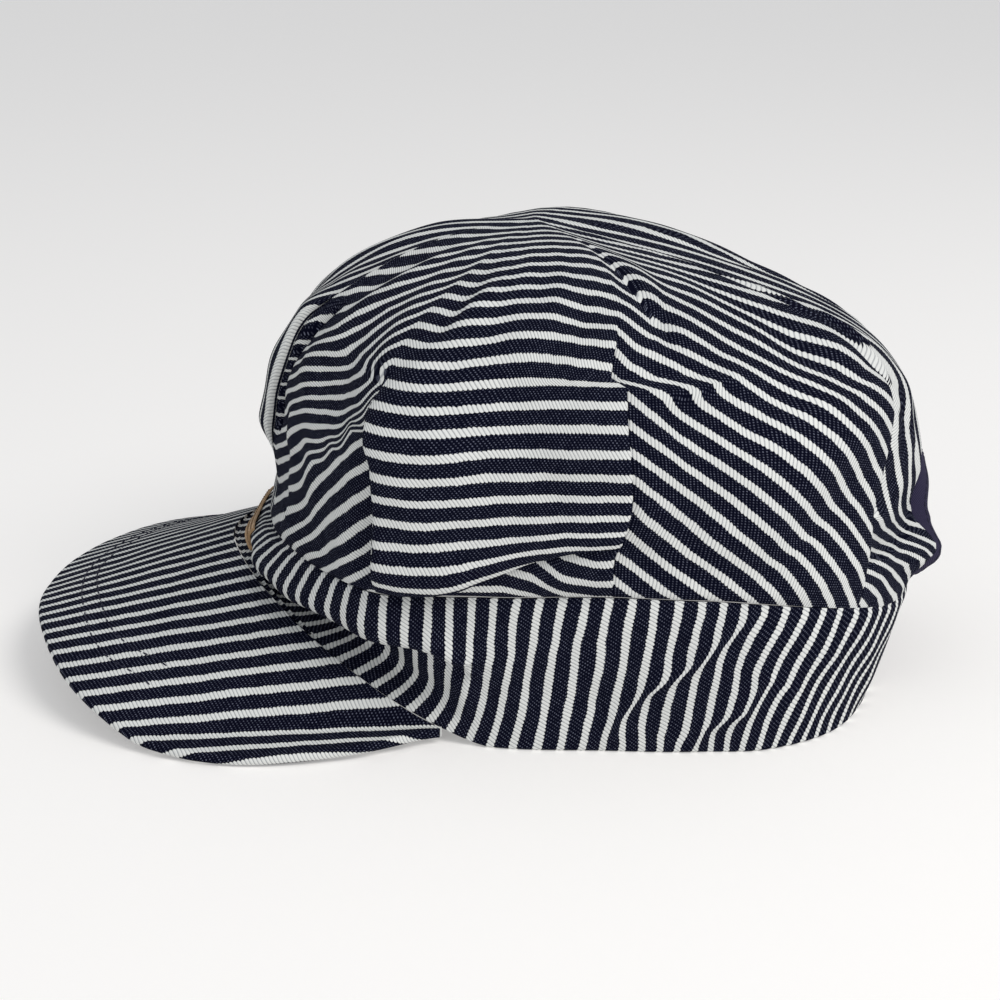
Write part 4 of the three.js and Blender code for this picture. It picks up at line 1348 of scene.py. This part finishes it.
crown = make_crown()
band = make_band()
facing, facing_front, facing_normal = make_facing([crown, band])
dress(facing, NAVY_TWILL, "navy_cloth", "back_facing")
for shell, node in ((crown, "crown"), (band, "band")):
    cut_arch(shell)
    dress(shell, STRIPED, "striped_cloth", node)

peak = make_peak()
dress(peak, STRIPED, "striped_cloth", "peak")

STRAP_ANGLES = np.linspace(155.2, 204.8, 70)
strap, strap_front, strap_out = sheet_on_band("strap_tape", (STRAP_ANGLES + 180) % 360 - 180, 0.1, 0.66,
                                              CLOTH + SEAM_GAP, CLOTH + SEAM_GAP + STRAP_THICK)
dress(strap, NAVY_TWILL, "navy_cloth", "back_strap")

patch, patch_front, patch_out = sheet_on_band("patch_hide", np.linspace(-12.4, 12.4, 60), 0.2, 0.77,
                                              -SEAM_GAP - PATCH_THICK, -SEAM_GAP)
dress(patch, TAN, "tan_patch", "front_patch")

# Two rows of stitches that follow the peak's edge: places of each on the wearer's left.
PEAK_SEAMS = [
    [(0, -146.5), (12, -144.5), (28.9, -139.8), (47.5, -133), (57.3, -126.2), (62.7, -119.9),
     (68.1, -109)],
    [(0, -150.5), (18.5, -147.6), (32.9, -143.7), (49.1, -138.2), (57.1, -134), (63.5, -129),
     (68.8, -122.6), (73.3, -112.9)],
]


def peak_seam(half):
    half = np.array(half, float)
    path = np.concatenate([half[::-1] * (-1, 1), half[1:]])
    x = np.linspace(path[0, 0], path[-1, 0], 160)
    y = np.interp(x, path[:, 0], path[:, 1])
    y = evened(y, np.ones(13) / 13)
    z, _ = peak_height(x, y)
    out = np.tile((0.0, -0.15, 1.0), (len(x), 1))
    return np.stack([x, y, z + 0.15], -1), out


sew("peak_stitches", [peak_seam(half) for half in PEAK_SEAMS], 2.6, 0.5, DARK_THREAD, "navy_cloth")


def along_sheet(front, out, row, lift):
    return front[:, row] + out[:, row] * lift, out[:, row]


sew("strap_stitches", [along_sheet(strap_front, strap_out, r, 0.05) for r in (2, -3)], 2.4, 0.45,
    DARK_THREAD, "navy_cloth")
patch_runs = [along_sheet(patch_front[2:-2], patch_out[2:-2], r, 0.1) for r in (2, -3)]
patch_runs += [(patch_front[c, 2:-2] + patch_out[c, 2:-2] * 0.1, patch_out[c, 2:-2]) for c in (2, -3)]
sew("patch_stitches", patch_runs, 1.9, 0.5, TAN_THREAD, "tan_patch")
facing_runs = [(facing_front[:, 7] - facing_normal[:, 7] * 0.05, -facing_normal[:, 7])]
sew("facing_stitches", facing_runs, 2.4, 0.42, DARK_THREAD, "navy_cloth")

# Floor, light and camera

FLOOR_COLOUR = (0.76, 0.745, 0.73, 1)
FLOOR_GLOW = (1.0, 0.985, 0.97, 1)
ROOM_COLOUR = (0.93, 0.96, 1.0, 1)
ROOM_STRENGTH = 0.5
LIT = (0, 0, 0.05)            # what the lights point at, in metres
LIGHTS = [
    {"name": "window", "place": (0.75, 0.85, 1.2), "size": 0.9, "power": 14, "colour": (1.0, 0.985, 0.96)},
    {"name": "fill", "place": (1.2, -0.9, 0.8), "size": 1.2, "power": 1.5, "colour": (0.95, 0.97, 1.0)},
]


def stage_material():
    material, _, surface = shader("pale_floor", 0.9, specular=0.1)
    surface.inputs["Base Color"].default_value = FLOOR_COLOUR
    surface.inputs["Emission Color"].default_value = FLOOR_GLOW
    surface.inputs["Emission Strength"].default_value = 0.3
    return material


def set_stage():
    bpy.ops.object.select_all(action="DESELECT")
    bpy.ops.mesh.primitive_plane_add(size=14, location=(0, 0, 0))
    floor = bpy.context.object
    floor.name = "floor"
    floor.data.materials.append(stage_material())


def area_light(name, place, size, power, colour):
    light = bpy.data.lights.new(name, "AREA")
    light.shape = "DISK"
    light.size = size
    light.energy = power
    light.color = colour
    obj = bpy.data.objects.new(name, light)
    bpy.context.scene.collection.objects.link(obj)
    obj.location = place
    obj.rotation_euler = (Vector(LIT) - Vector(place)).to_track_quat("-Z", "Y").to_euler()


def set_lights():
    world = bpy.data.worlds.new("room")
    bpy.context.scene.world = world
    world.use_nodes = True
    back = world.node_tree.nodes["Background"]
    back.inputs["Color"].default_value = ROOM_COLOUR
    back.inputs["Strength"].default_value = ROOM_STRENGTH
    for light in LIGHTS:
        area_light(**light)


CAMERA = {"azimuth": 92, "elevation": 18, "distance": 600, "focal_px": 1970, "aim": (0, -22, 44.4)}


def set_camera():
    a = math.radians(CAMERA["azimuth"])
    e = math.radians(CAMERA["elevation"])
    back = Vector((math.sin(a) * math.cos(e), -math.cos(a) * math.cos(e), math.sin(e)))
    aim = (Vector(CAMERA["aim"]) + Vector((0, RING_Y, 0))) * MM
    data = bpy.data.cameras.new("camera")
    data.sensor_width = 36
    data.lens = CAMERA["focal_px"] / 1000 * data.sensor_width
    data.clip_start = 0.05
    camera = bpy.data.objects.new("camera", data)
    bpy.context.scene.collection.objects.link(camera)
    camera.location = aim + back * CAMERA["distance"] * MM
    camera.rotation_euler = (-back).to_track_quat("-Z", "Y").to_euler()
    bpy.context.scene.camera = camera


set_stage()
set_lights()
set_camera()
bpy.context.scene.view_settings.view_transform = "Standard"

bpy.context.view_layer.update()
